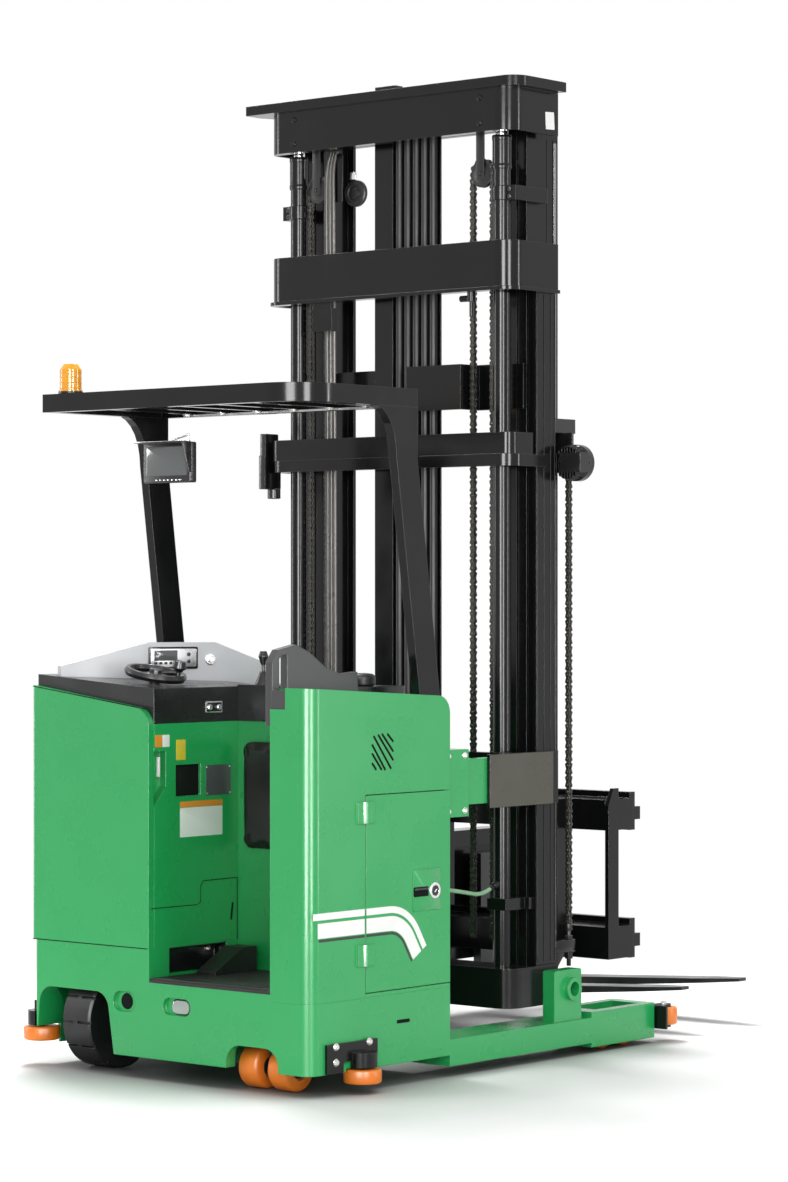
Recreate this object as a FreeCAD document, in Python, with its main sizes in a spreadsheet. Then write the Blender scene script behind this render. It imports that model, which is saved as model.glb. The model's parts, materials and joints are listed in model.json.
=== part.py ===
"""Stand-up turret truck with straddle legs, a three-stage mast and a swivelling fork head.

Axes: +X towards the forks, +Y to the driver's left, +Z up.  Sizes are in millimetres and are
written from the rear plane of the body (x), the truck's centre plane (y) and the floor (z).
Every sub-part is then shifted so that the origin is on the floor under the middle of the truck.
"""
import FreeCAD, Part
import math
import os
import types

import Sketcher

# ---------------------------------------------------------------- driving dimensions
SIZES = {
    # body shell
    "body_length": 700, "body_width": 1250, "body_corner": 45, "skirt_bottom": 72,
    "left_tub_top": 432, "side_tub_top": 300, "left_wall": 86, "wing_thick": 170,
    "bay_length": 432, "floor_top": 322, "mat_thick": 14, "housing_top": 1173,
    "panel_thick": 25, "panel_top_outer": 1294, "panel_top_inner": 1220, "panel_round": 70,
    "rear_top": 1303, "front_top": 1264, "front_round": 60,
    "dash_short": 140, "dash_top_outer": 1330, "dash_top_inner": 1290, "dash_inset": 6,
    "tray_top": 1296, "arch_in": 146, "arch_in_foot": 179, "arch_out": 172, "arch_out_foot": 188,
    "arch_over": 54, "arch_round": 60, "left_corner": 14, "cover_over": 15,
    "lamp_side": -42, "lamp_height": 250, "lamp_width": 124, "lamp_tall": 56, "lamp_deep": 14,
    "tow_side": 197, "tow_height": 251, "tow_radius": 27, "tow_wide": 106,
    "tow_tall": 68, "tow_deep": 12, "toe_start": 98, "toe_end": 377, "toe_top": 428,
    "toe_deep": 60,
    # battery and its door
    "door_rear": 270, "door_bottom": 313, "door_top": 955, "door_thick": 28, "door_gap": 3,
    "battery_wall": 20, "battery_end": 60, "battery_clear": 6, "battery_top": 930,
    "hinge_out": 7, "hinge_radius": 6, "hinge_tall": 70, "hinge_leaf": 44,
    # legs
    "leg_wide": 165, "leg_bottom": 35, "leg_top": 124, "tip_lead": 17, "leg_nose": 54,
    "tip_bottom": 20, "tip_top": 143, "tip_wide": 195, "tip_taper": 60, "opening_clear": 7,
    "opening_wide": 120, "opening_in": 39,
    "load_first": 1615, "load_apart": 10, "load_radius": 58, "load_width": 104,
    "load_axle": 12, "ear_start": 1281, "ear_end": 1434, "ear_in": 11,
    "ear_top": 301, "ear_bore_along": 1374, "ear_bore_height": 234, "ear_bore": 25,
    "ear_boss": 40, "ear_boss_out": 18,
    # drive wheel and caster
    "drive_along": 162, "drive_in": 198, "drive_radius": 165, "drive_width": 130,
    "drive_tyre": 42, "drive_clear": 7, "cavity_over": 20, "tread_slots": 12,
    "slot_wide": 9, "slot_deep": 10, "slot_long": 56, "tyre_shoulder": 7,
    "turntable_over": 8, "seat_gap": 0.3, "running_gap": 0.08,
    "turntable_gap": 0.6, "turntable_thick": 34, "motor_radius": 95, "motor_tall": 268,
    "gear_thick": 32, "gear_gap": 6,
    "drive_shaft": 22, "caster_along": 175, "caster_in": 251, "caster_trail": 57,
    "caster_radius": 72, "caster_width": 84, "caster_gap": 44, "caster_cavity": 172,
    "caster_cavity_top": 246, "caster_sweep_top": 148,
    "caster_arch_low": -490, "caster_arch_high": -262, "caster_plate": 60, "caster_axle": 12,
    # guide rollers
    "rear_right_along": 242, "rear_left_along": 45, "rear_roller_out": 12,
    "rear_roller_radius": 62, "rear_roller_bottom": 32, "left_roller_over": 54, "rear_roller_tall": 46,
    "hub_radius": 48, "hub_top": 132, "right_plate_start": 73, "right_plate_end": 318,
    "left_plate_start": 8, "left_plate_end": 150,
    "side_plate_bottom": 84, "side_plate_top": 168, "side_plate_thick": 11,
    "front_roller_out": 66, "front_roller_in": 13, "front_roller_radius": 48,
    "front_roller_bottom": 60, "front_roller_tall": 62, "front_plate_thick": 9,
    "front_plate_half": 58, "roller_pin": 9, "lug_thick": 9, "roller_gap": 1,
    # mast, outer stage
    "mast_rear": 1097, "mast_front": 1368, "stage_front": 1437, "mast_in": 62, "mast_corner": 66,
    "tie_wall": 12, "tie_depth": 38, "foot_depth": 150, "foot_bottom": 181, "foot_top": 318,
    "low_tie_bottom": 877, "low_tie_top": 1059, "mid_tie_bottom": 2043, "mid_tie_top": 2159,
    "top_tie_drop": 168, "top_tie_tall": 171, "tie_lip": 12, "tie_lip_out": 9,
    "mid_lip": 42, "mid_lip_front": 1300, "mid_corner": 40, "tee_side": -378,
    "valve_side": 297, "side_plate_rear": 973, "side_plate_front": 1325,
    "rail_rear": 1260, "rail_width": 37, "rail_flange": 14, "rail_web": 10, "rail_gap": 6,
    "outer_drop": 528, "mid_rail_bottom": 196, "mast_top": 3343,
    "inner_rail_bottom": 200, "inner_drop": 8, "shoe_tall": 90, "shoe_clear": 0.3,
    "barrel_along": 1172, "barrel_in": 38, "barrel_radius": 31, "barrel_drop": 157,
    "barrel_bore": 23.5, "rod_radius": 22.5, "rod_bottom": 420, "barrel_floor": 390,
    "shelf_bottom": 515, "shelf_top": 555, "shelf_rear": 1128, "shelf_front": 1254,
    "shelf_in": 32, "shelf_lap": 31, "gland_radius": 34, "gland_tall": 118,
    "arm_bottom": 894, "arm_top": 1047, "arm_thick": 40, "arm_over": 40,
    "arm_plate": 130, "arm_plate_half": 56, "arm_plate_over": 36,
    # mast, middle stage
    "beam_tall": 148, "cap_thick": 34, "cap_front": 1250,
    "cap_ear_front": 1362, "cap_over_right": 40, "cap_over_left": 86, "cap_rear_over": 16,
    "trunk_along": 1184, "trunk_front": 1220, "trunk_left": 119, "trunk_width": 84,
    "trunk_bottom": 340, "trunk_sheet": 6, "hose_pitch": 39, "hose_radius": 14,
    "hose_first": 5, "block_tall": 12, "chain_along": 1180, "chain_in": 90, "chain_wide": 26,
    "chain_thick": 20, "chain_bottom": 430, "pulley_drop": 283, "pulley_radius": 44,
    "hose_beam_rear": 1138, "hose_beam_near": 66, "hose_beam_far": 312,
    "hose_beam_bottom": 2245, "hose_beam_top": 2402,
    # mast, inner stage
    "cross_rear": 1260, "cross_front": 1288, "cross_bottom": 2345, "cross_top": 2405,
    "cross_high_tall": 116, "cross_high_drop": 4,
    # carriage and its traverse frame
    "plate_thick": 16, "plate_clear": 6, "plate_rear": 1295, "frame_rear": 1617,
    "frame_front": 1764, "carriage_bottom": 313, "carriage_top": 880, "frame_out": 17,
    "end_plate": 16, "end_depth": 59, "end_top": 916, "end_chamfer": 60,
    "upper_rail_bottom": 768, "upper_rail_top": 876, "lower_rail_top": 426,
    "rack_depth": 32, "rack_tall": 46, "rack_web": 30, "rack_lip": 22,
    # traverse head
    "pivot_lead": 434, "pivot_in": 130, "slide_half": 142, "slide_thick": 36,
    "slide_bottom": 296, "slide_top": 900, "hook_thick": 14, "hook_clear": 0.3,
    "arm_half": 46, "low_arm_bottom": 216, "low_arm_top": 262, "high_arm_bottom": 640,
    "high_arm_top": 704, "gusset_half": 9, "gusset_clear": 8,
    # fork carrier and forks
    "post_radius": 38, "post_clear": 0.3, "post_pin": 24, "bar_offset": 48, "bar_thick": 26,
    "low_bar_bottom": 278, "low_bar_top": 350, "high_bar_bottom": 530, "high_bar_top": 606,
    "fork_spread": 366, "fork_width": 100, "fork_shank": 36, "fork_reach": 1025,
    "fork_tip_height": 175, "fork_rise": 52, "fork_heel": 42, "fork_tip": 12,
    "fork_top": 618, "fork_clear": 0.3, "bar_over": 14, "fork_nose": 150, "fork_nose_half": 22,
    # overhead guard
    "guard_short": 123, "guard_in": 37, "guard_bottom": 2218, "guard_top": 2279,
    "guard_rim": 38, "guard_round": 150, "bar_pitch": 165, "bar_wide": 26, "bar_tall": 44,
    "pillar_top_wide": 107, "pillar_foot_wide": 104, "pillar_foot_in": 8,
    "pillar_thick": 34, "gusset_reach": 95, "gusset_drop": 170,
    "beacon_along": 57, "beacon_in": 78, "beacon_radius": 37, "beacon_tall": 92,
    "beacon_base": 14, "monitor_height": 2055, "monitor_wide": 226, "monitor_tall": 140,
    "monitor_thick": 34, "monitor_before": 40, "monitor_in": 200, "hood_reach": 46,
    # controls
    "board_length": 748, "board_angle": -28.86, "board_rear": 45, "board_in": 37,
    "board_thick": 44, "board_base": 1262, "board_top": 1437, "board_left_in": 312,
    "board_right_in": 200, "board_end_top": 1358, "board_foot_in": 342,
    "rest_along": 536, "rest_in": 79, "rest_radius": 52, "rest_tall": 46,
    "steer_along": 196, "steer_side": 245, "steer_height": 1334, "steer_ring": 94,
    "steer_rim": 13, "steer_hub": 26, "steer_tilt": 12, "column_radius": 19, "stick_along": 490,
    "stick_in": 64, "stick_top": 1409, "stick_knob": 17, "pad_low": 737, "pad_high": 1110,
    "pad_left": 55, "pad_right": -150, "pad_thick": 30, "pad_clear": 0.3,
    "trim_thick": 30, "trim_bottom": 1180, "trim_rear": 12, "notch_end": 45, "notch_wide": 65,
    "notch_bottom": 1235, "grip_clear": 1, "grip_tall": 60,
    # latch pocket and window in the compartment's left wall
    "latch_end": 81, "latch_top": 1082, "latch_low": 965, "latch_foot": 900, "latch_deep": 30,
    "lever_along": 39, "lever_bottom": 1000, "window_start": 129, "window_end": 249,
    "window_bottom": 929, "window_top": 1034, "window_deep": 10,
    # lift hose and the fittings at its ends
    "lift_hose_radius": 7, "hose_gland": 14, "gland_round": 14, "gland_height": 611,
    "port_height": 616, "port_reach": 72, "port_round": 9, "port_lean": 22,
    # lights and front chains
    "light_along": 1398, "light_out": 28, "light_bottom": 1996, "light_radius": 64,
    "light_bar": 2164, "light_bar_tall": 50,
    "light_thick": 58, "front_chain_along": 1468, "front_chain_over": -30,
    "front_chain_bottom": 410, "anchor_bottom": 350,
    "anchor_top": 394, "nut_radius": 15,
}


class Length:
    """A size together with the sheet expression that yields it."""

    def __init__(self, value, text):
        self.value = float(value)
        self.text = text

    def _with(self, other, sign, swap=False):
        other = length(other)
        first, second = (other, self) if swap else (self, other)
        results = {"+": first.value + second.value, "-": first.value - second.value,
                   "*": first.value * second.value}
        value = first.value / second.value if sign == "/" else results[sign]
        return Length(value, "(%s %s %s)" % (first.text, sign, second.text))

    def __add__(self, other):
        return self._with(other, "+")

    def __radd__(self, other):
        return self._with(other, "+", True)

    def __sub__(self, other):
        return self._with(other, "-")

    def __rsub__(self, other):
        return self._with(other, "-", True)

    def __mul__(self, other):
        return self._with(other, "*")

    def __rmul__(self, other):
        return self._with(other, "*", True)

    def __truediv__(self, other):
        return self._with(other, "/")

    def __neg__(self):
        return 0 - self


def length(size):
    """Wrap a plain number as a Length; a Length passes through."""
    return size if isinstance(size, Length) else Length(size, repr(float(size)))


def root(size):
    """The square root of a Length."""
    return Length(size.value ** 0.5, "sqrt(%s)" % size.text)


doc = FreeCAD.newDocument("TurretTruck")
sheet = doc.addObject("Spreadsheet::Sheet", "Sizes")
for row, (name, value) in enumerate(SIZES.items(), start=1):
    sheet.set("A%d" % row, str(value))
    sheet.setAlias("A%d" % row, name)
doc.recompute()
D = types.SimpleNamespace(**{name: Length(value, "Sizes." + name) for name, value in SIZES.items()})

# sizes worked out from the driving dimensions
half = D.body_width / 2
D.wing_wall = D.wing_thick - half
D.leg_inner = half - D.leg_wide
D.tip_inner = half - D.tip_wide
D.opening_outer = half - D.opening_in
D.opening_inner = D.opening_outer - D.opening_wide
D.ear_outer = half - D.ear_in
D.drive_side = half - D.drive_in
D.arch_low = D.drive_side - D.arch_in
D.left_face = half + D.cover_over
D.arch_high = D.drive_side + D.arch_out
D.caster_side = D.caster_in - half
D.rear_roller_side = half + D.rear_roller_out
D.front_roller_side = half - D.front_roller_in
D.mast_half = half - D.mast_in
D.arm_middle = D.mast_half - D.arm_thick / 2
D.front_chain_side = D.mast_half + D.front_chain_over
D.light_side = D.mast_half + D.light_out
D.frame_half = D.mast_half + D.frame_out
D.pivot_side = D.frame_half - D.pivot_in
D.guard_half = half - D.guard_in
D.board_side = half - D.board_in
D.monitor_side = D.guard_half - D.monitor_in
D.beacon_side = D.guard_half - D.beacon_in
D.rest_side = D.wing_wall + D.rest_in
D.stick_side = D.left_wall - D.stick_in
D.pillar_foot_front = D.body_length - D.pillar_foot_in
D.pillar_foot_rear = D.pillar_foot_front - D.pillar_foot_wide
D.guard_length = D.body_length - D.guard_short
D.pillar_top_rear = D.guard_length - D.pillar_top_wide
D.monitor_along = D.pillar_top_rear - D.monitor_before
D.dash_front = D.body_length - D.dash_short
D.load_second = D.load_first + 2 * D.load_radius + D.load_apart
D.opening_start = D.load_first - D.load_radius - D.opening_clear
D.opening_end = D.load_second + D.load_radius + D.opening_clear
D.tip_start = D.load_first - D.load_radius - D.tip_lead
D.leg_end = D.opening_end + D.leg_nose
D.pivot_along = D.leg_end + D.pivot_lead
D.outer_rail_top = D.mast_top - D.outer_drop
D.inner_rail_top = D.mast_top - D.inner_drop
D.top_tie_bottom = D.outer_rail_top - D.top_tie_drop
D.top_tie_top = D.top_tie_bottom + D.top_tie_tall
D.barrel_top = D.mast_top - D.barrel_drop
D.beam_bottom = D.mast_top - D.beam_tall
D.cap_top = D.mast_top + D.cap_thick
D.pulley_height = D.mast_top - D.pulley_drop
D.cross_high_top = D.inner_rail_top - D.cross_high_drop
D.cross_high_bottom = D.cross_high_top - D.cross_high_tall
D.front_chain_top = D.light_bar
tyre_half = D.drive_width / 2
D.drive_cavity = root(D.drive_radius * D.drive_radius + tyre_half * tyre_half) + D.drive_clear
D.turntable_well = root(D.arch_over * (2 * D.drive_radius - D.arch_over)
                        + tyre_half * tyre_half) + D.drive_clear
D.arch_top = 2 * D.drive_radius - D.arch_over
D.turntable_bottom = 2 * D.drive_radius + D.turntable_over
D.turntable_top = D.turntable_bottom + D.turntable_thick
D.motor_top = D.turntable_top + D.motor_tall
D.cavity_top = D.motor_top + D.cavity_over
outer_rail_out = D.mast_half - D.tie_wall
mid_rail_out = outer_rail_out - D.rail_width - D.rail_gap
inner_rail_out = mid_rail_out - D.rail_width - D.rail_gap
D.barrel_side = mid_rail_out - D.barrel_in
D.chain_side = D.barrel_side - D.chain_in
D.hose_side = -D.barrel_side
D.shelf_inner = D.barrel_side - D.shelf_in
D.shelf_outer = outer_rail_out - D.shelf_lap
fork_far = D.pivot_along + D.fork_spread / 2 + D.fork_width / 2
fork_end = D.pivot_side - D.fork_reach
rearmost = D.rear_left_along - D.rear_roller_radius
datum_along = (fork_far + rearmost) / 2
hinge_heights = (D.door_bottom + 90, D.door_top - 92)
parts = {}


# ---------------------------------------------------------------- modelling helpers
def bind(thing, prop, size):
    """Tie one property of a document object to the sheet."""
    thing.setExpression(prop, length(size).text)


def place(thing, along, side, up):
    bind(thing, "Placement.Base.x", along)
    bind(thing, "Placement.Base.y", side)
    bind(thing, "Placement.Base.z", up)


def slab(x, y, z):
    """A block between two x, two y and two z values."""
    block = doc.addObject("Part::Box", "Slab")
    bind(block, "Length", length(x[1]) - x[0])
    bind(block, "Width", length(y[1]) - y[0])
    bind(block, "Height", length(z[1]) - z[0])
    place(block, length(x[0]), length(y[0]), length(z[0]))
    return block


TURNS = {"x": FreeCAD.Rotation(FreeCAD.Vector(0, 1, 0), 90),
         "y": FreeCAD.Rotation(FreeCAD.Vector(1, 0, 0), -90),
         "z": FreeCAD.Rotation()}


def rod(axis, start, end, radius, first, second):
    """A cylinder from start to end along an axis; first and second are its other coordinates."""
    bar = doc.addObject("Part::Cylinder", "Rod")
    bind(bar, "Radius", radius)
    bind(bar, "Height", length(end) - start)
    bar.Placement = FreeCAD.Placement(FreeCAD.Vector(), TURNS[axis])
    spots = {"x": (start, first, second), "y": (first, start, second), "z": (first, second, start)}
    place(bar, *[length(value) for value in spots[axis]])
    return bar


def cone(start, end, low_radius, high_radius, along, side):
    """An upright cone."""
    shape = doc.addObject("Part::Cone", "Cone")
    bind(shape, "Radius1", low_radius)
    bind(shape, "Radius2", high_radius)
    bind(shape, "Height", length(end) - start)
    place(shape, length(along), length(side), length(start))
    return shape


def cone_along(start, end, near_radius, far_radius, side, up):
    """A cone lying along x."""
    shape = doc.addObject("Part::Cone", "Cone")
    bind(shape, "Radius1", near_radius)
    bind(shape, "Radius2", far_radius)
    bind(shape, "Height", length(end) - start)
    shape.Placement = FreeCAD.Placement(FreeCAD.Vector(), TURNS["x"])
    place(shape, length(start), length(side), length(up))
    return shape


def hexagon(start, end, radius, along, side):
    """An upright six-sided nut; radius is to its corners."""
    nut = doc.addObject("Part::Prism", "Nut")
    nut.Polygon = 6
    bind(nut, "Circumradius", radius)
    bind(nut, "Height", length(end) - start)
    place(nut, length(along), length(side), length(start))
    return nut


def fuse(*shapes):
    shapes = [shape for group in shapes for shape in (group if isinstance(group, list) else [group])]
    if len(shapes) == 1:
        return shapes[0]
    union = doc.addObject("Part::MultiFuse", "Fuse")
    union.Shapes = shapes
    union.Refine = True
    return union


def cut(base, *tools):
    result = doc.addObject("Part::Cut", "Cut")
    result.Base = base
    result.Tool = fuse(*tools)
    return result


def together(*shapes):
    """Several separate solids in one sub-part."""
    group = doc.addObject("Part::Compound", "Set")
    group.Links = list(shapes)
    return group


def plane_of(body, role):
    return [item for item in body.Origin.OriginFeatures if item.Role == role][0]


def add_loop(sketch, points):
    """A closed loop of straight lines whose corners are bound to the sheet."""
    first = sketch.GeometryCount
    spots = [FreeCAD.Vector(u.value, v.value, 0) for u, v in points]
    for index, spot in enumerate(spots):
        sketch.addGeometry(Part.LineSegment(spot, spots[(index + 1) % len(spots)]))
    for index in range(len(points)):
        following = first + (index + 1) % len(points)
        sketch.addConstraint(Sketcher.Constraint("Coincident", first + index, 2, following, 1))
    for index, (u, v) in enumerate(points):
        for kind, size in (("DistanceX", u), ("DistanceY", v)):
            spot = sketch.addConstraint(
                Sketcher.Constraint(kind, -1, 1, first + index, 1, size.value))
            sketch.setExpression("Constraints[%d]" % spot, size.text)


def add_ring(sketch, u, v, radius):
    """A circle bound to the sheet."""
    centre = FreeCAD.Vector(u.value, v.value, 0)
    ring = sketch.addGeometry(Part.Circle(centre, FreeCAD.Vector(0, 0, 1), radius.value))
    for kind, size in (("DistanceX", u), ("DistanceY", v)):
        spot = sketch.addConstraint(Sketcher.Constraint(kind, -1, 1, ring, 3, size.value))
        sketch.setExpression("Constraints[%d]" % spot, size.text)
    spot = sketch.addConstraint(Sketcher.Constraint("Radius", ring, radius.value))
    sketch.setExpression("Constraints[%d]" % spot, radius.text)


PLANES = {"XY": "XY_Plane", "XZ": "XZ_Plane", "YZ": "YZ_Plane"}


def sketch_on(body, plane, start, end, loops, rings=()):
    """A sketch on an origin plane, lifted to where its pad begins."""
    sketch = body.newObject("Sketcher::SketchObject", "Outline")
    sketch.AttachmentSupport = (plane_of(body, PLANES[plane]), [""])
    sketch.MapMode = "FlatFace"
    lift = -length(end) if plane == "XZ" else length(start)
    bind(sketch, "AttachmentOffset.Base.z", lift)
    for loop in loops:
        add_loop(sketch, [(length(u), length(v)) for u, v in loop])
    for u, v, radius in rings:
        add_ring(sketch, length(u), length(v), length(radius))
    return sketch


def pad(plane, start, end, outline, holes=(), rings=()):
    """A body padded from an outline: XY along z, XZ along y, YZ along x, from start to end."""
    body = doc.addObject("PartDesign::Body", "Body")
    sketch = sketch_on(body, plane, start, end, [outline] + list(holes), rings)
    feature = body.newObject("PartDesign::Pad", "Pad")
    feature.Profile = sketch
    bind(feature, "Length", length(end) - start)
    doc.recompute()
    return body


def revolve(points, along, side):
    """A body turned about an upright axis from an outline of (radius, height) points."""
    body = doc.addObject("PartDesign::Body", "Body")
    sketch = sketch_on(body, "XZ", 0, 0, [points])
    feature = body.newObject("PartDesign::Revolution", "Revolution")
    feature.Profile = sketch
    feature.ReferenceAxis = (sketch, ["V_Axis"])
    feature.Angle = 360
    body.Placement = FreeCAD.Placement()
    place(body, length(along), length(side), length(0))
    doc.recompute()
    return body


def edges_at(shape, axis, spots, reach=0.5):
    """Names of the straight edges along an axis that pass through the given spots."""
    others = [index for index in range(3) if index != "xyz".index(axis)]
    names = []
    for number, edge in enumerate(shape.Edges, start=1):
        if len(edge.Vertexes) != 2:
            continue
        a, b = edge.Vertexes[0].Point, edge.Vertexes[1].Point
        if any(abs(a[index] - b[index]) > 1e-6 for index in others):
            continue
        for spot in spots:
            if all(abs(a[others[k]] - spot[k]) < reach for k in range(2)):
                names.append("Edge%d" % number)
                break
    return names


def round_body(body, axis, spots, radius):
    """Fillet a body's edges along an axis at the given spots."""
    base = body.Tip
    names = edges_at(base.Shape, axis, [[length(value).value for value in s] for s in spots])
    fillet = body.newObject("PartDesign::Fillet", "Round")
    fillet.Base = (base, names)
    bind(fillet, "Radius", radius)
    doc.recompute()
    return body


def round_top(body, radius):
    """Fillet the two corners at the top of a body padded along x."""
    base = body.Tip
    top = base.Shape.BoundBox.ZMax
    names = ["Edge%d" % number for number, edge in enumerate(base.Shape.Edges, start=1)
             if abs(edge.Vertexes[0].Z - top) < 1e-6 and abs(edge.Vertexes[-1].Z - top) < 1e-6
             and abs(edge.Vertexes[0].X - edge.Vertexes[-1].X) > 1]
    fillet = body.newObject("PartDesign::Fillet", "Round")
    fillet.Base = (base, names)
    bind(fillet, "Radius", radius)
    doc.recompute()
    return body


def bevel_body(body, axis, spots, size):
    """Chamfer a body's edges along an axis at the given spots."""
    base = body.Tip
    names = edges_at(base.Shape, axis, [[length(value).value for value in s] for s in spots])
    chamfer = body.newObject("PartDesign::Chamfer", "Bevel")
    chamfer.Base = (base, names)
    bind(chamfer, "Size", size)
    doc.recompute()
    return body


def rectangle(u, v):
    return [(u[0], v[0]), (u[1], v[0]), (u[1], v[1]), (u[0], v[1])]


def name_part(thing, label):
    """Make an object a sub-part: label it and shift it to the truck's own origin."""
    if thing.TypeId == "Part::Box":
        thing = together(thing)
    thing.Label = label
    place(thing, -datum_along, length(0), length(0))
    parts[label] = thing


def turned(points):
    """Mirror an outline's first coordinate."""
    return [(-length(u), v) for u, v in points]


# ---------------------------------------------------------------- body shell
def side_top(along):
    """Height of the right side's falling top edge at a place along the body."""
    return D.rear_top - (D.rear_top - D.front_top) * along / D.body_length


def chassis_frame():
    tub = pad("XY", D.skirt_bottom, D.side_tub_top, rectangle((0, D.body_length), (-half, half)))
    round_body(tub, "z", [(0, -half)], D.body_corner)
    round_body(tub, "z", [(0, half)], D.left_corner)
    left = pad("XY", D.side_tub_top, D.left_tub_top,
               rectangle((0, D.body_length), (D.left_wall, half)))
    round_body(left, "z", [(0, half)], D.left_corner)
    step = slab((0, D.bay_length), (D.wing_wall, D.left_wall), (D.side_tub_top, D.floor_top))
    arch = pad("YZ", -1, D.drive_along,
               [(D.drive_side - D.arch_in_foot, D.skirt_bottom - 1),
                (D.drive_side + D.arch_out_foot, D.skirt_bottom - 1),
                (D.arch_high, D.arch_top), (D.arch_low, D.arch_top)])
    round_top(arch, D.arch_round)
    wheel_well = fuse(rod("z", D.skirt_bottom - 1, D.arch_top, D.drive_cavity,
                          D.drive_along, D.drive_side),
                      rod("z", D.arch_top - 1, D.left_tub_top + 1, D.turntable_well,
                          D.drive_along, D.drive_side))
    caster_well = [rod("z", D.skirt_bottom - 1, D.caster_sweep_top, D.caster_cavity,
                       D.caster_along, D.caster_side),
                   rod("z", D.skirt_bottom - 1, D.caster_cavity_top, D.caster_cavity - 20,
                       D.caster_along, D.caster_side)]
    caster_arch = pad("YZ", -1, D.caster_along,
                      rectangle((D.caster_arch_low, D.caster_arch_high),
                                (D.skirt_bottom - 1, D.caster_sweep_top)))
    round_top(caster_arch, D.arch_round)
    lamp = pad("YZ", -1, D.lamp_deep,
               rectangle((D.lamp_side - D.lamp_width / 2, D.lamp_side + D.lamp_width / 2),
                         (D.lamp_height - D.lamp_tall / 2, D.lamp_height + D.lamp_tall / 2)))
    corners = [(D.lamp_side + a * D.lamp_width / 2, D.lamp_height + b * D.lamp_tall / 2)
               for a in (-1, 1) for b in (-1, 1)]
    round_body(lamp, "x", corners, D.lamp_tall / 2 - 1)
    tow = pad("YZ", -1, D.tow_deep,
              rectangle((D.tow_side - D.tow_wide / 2, D.tow_side + D.tow_wide / 2),
                        (D.tow_height - D.tow_tall / 2, D.tow_height + D.tow_tall / 2)))
    round_body(tow, "x", [(D.tow_side + a * D.tow_wide / 2, D.tow_height + b * D.tow_tall / 2)
                          for a in (-1, 1) for b in (-1, 1)], D.tow_tall / 2 - 1)
    tow_bore = rod("x", 0, D.tow_deep + 40, D.tow_radius, D.tow_side, D.tow_height)
    toe = toe_recess()
    notches = [rod("z", D.skirt_bottom - 1, D.rear_roller_bottom + over + D.rear_roller_tall + 5,
                   D.rear_roller_radius + 6, along, side * D.rear_roller_side)
               for along, side, over in ((D.rear_right_along, -1, length(0)),
                                         (D.rear_left_along, 1, D.left_roller_over))]
    name_part(cut(fuse(tub, left, step), arch, wheel_well, caster_well, caster_arch, lamp, tow,
                  tow_bore, toe, notches), "chassis_frame")


def toe_recess():
    """Room for the driver's left foot beside the pedal."""
    return slab((D.toe_start, D.toe_end), (D.left_wall - 1, D.left_wall + D.toe_deep),
                (D.floor_top, D.toe_top))


def left_housing():
    shell = slab((D.panel_thick, D.body_length), (D.left_wall, D.left_face),
                 (D.left_tub_top, D.housing_top))
    well = rod("z", D.left_tub_top - 1, D.cavity_top, D.turntable_well, D.drive_along, D.drive_side)
    pocket = pad("XZ", D.left_wall - 1, D.left_wall + D.latch_deep,
                 [(D.panel_thick - 1, D.latch_foot), (D.latch_end, D.latch_low),
                  (D.latch_end, D.latch_top), (D.panel_thick - 1, D.latch_top)])
    window = slab((D.window_start, D.window_end), (D.left_wall - 1, D.left_wall + D.window_deep),
                  (D.window_bottom, D.window_top))
    lever = [slab((D.lever_along - 5, D.lever_along + 5), (D.left_wall + 8, D.left_wall + 14),
                  (D.lever_bottom, D.lever_bottom + 64)),
             rod("y", D.left_wall + 12, D.left_wall + D.latch_deep + 1, 7,
                 D.lever_along, D.lever_bottom + 8)]
    name_part(fuse(cut(shell, well, pocket, window), lever), "left_housing")


def rear_cover():
    cover = pad("YZ", 0, D.panel_thick,
                [(D.left_wall, D.left_tub_top), (D.left_face, D.left_tub_top),
                 (D.left_face, D.panel_top_outer), (D.left_wall, D.panel_top_inner)])
    round_body(cover, "x", [(D.left_wall, D.panel_top_inner)], D.panel_round)
    round_body(cover, "z", [(0, D.left_face)], D.left_corner)
    name_part(cover, "rear_cover")


def right_housing():
    wing = pad("XZ", -half, D.wing_wall,
               [(0, D.side_tub_top), (D.body_length, D.side_tub_top),
                (D.body_length, D.front_top), (0, D.rear_top)])
    round_body(wing, "y", [(D.body_length, D.front_top)], D.front_round)
    round_body(wing, "z", [(0, -half)], D.body_corner)
    front = slab((D.bay_length, D.body_length), (D.wing_wall, D.left_wall),
                 (D.side_tub_top, D.housing_top))
    recess = slab((D.door_rear, D.body_length + 1), (-half - 1, D.door_thick + D.door_gap - half),
                  (D.door_bottom, D.door_top))
    side_bay = slab((D.door_rear + D.battery_wall, D.body_length - D.battery_wall / 2),
                    (-half, D.wing_wall - D.battery_wall),
                    (D.door_bottom + D.battery_wall / 2, D.door_top - D.battery_wall / 2))
    bay = slab((D.bay_length + D.battery_wall, D.body_length - D.battery_wall / 2),
               (D.wing_wall - D.battery_wall - 1, D.battery_end),
               (D.door_bottom + D.battery_wall / 2, D.door_top - D.battery_wall / 2))
    leaves = [slab((D.door_rear - D.hinge_leaf, D.door_rear - D.hinge_radius - D.seat_gap),
                   (-half - D.hinge_out, -half), (height, height + D.hinge_tall))
              for height in hinge_heights]
    notch = slab((-1, D.notch_end), (D.wing_wall - D.notch_wide, D.wing_wall + 1),
                 (D.notch_bottom, D.rear_top + 1))
    gland = rod("x", D.body_length, D.body_length + D.hose_gland, D.gland_round,
                D.hose_side, D.gland_height)
    name_part(fuse(cut(fuse(wing, front), recess, side_bay, bay, notch), leaves, gland),
              "right_housing")


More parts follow.
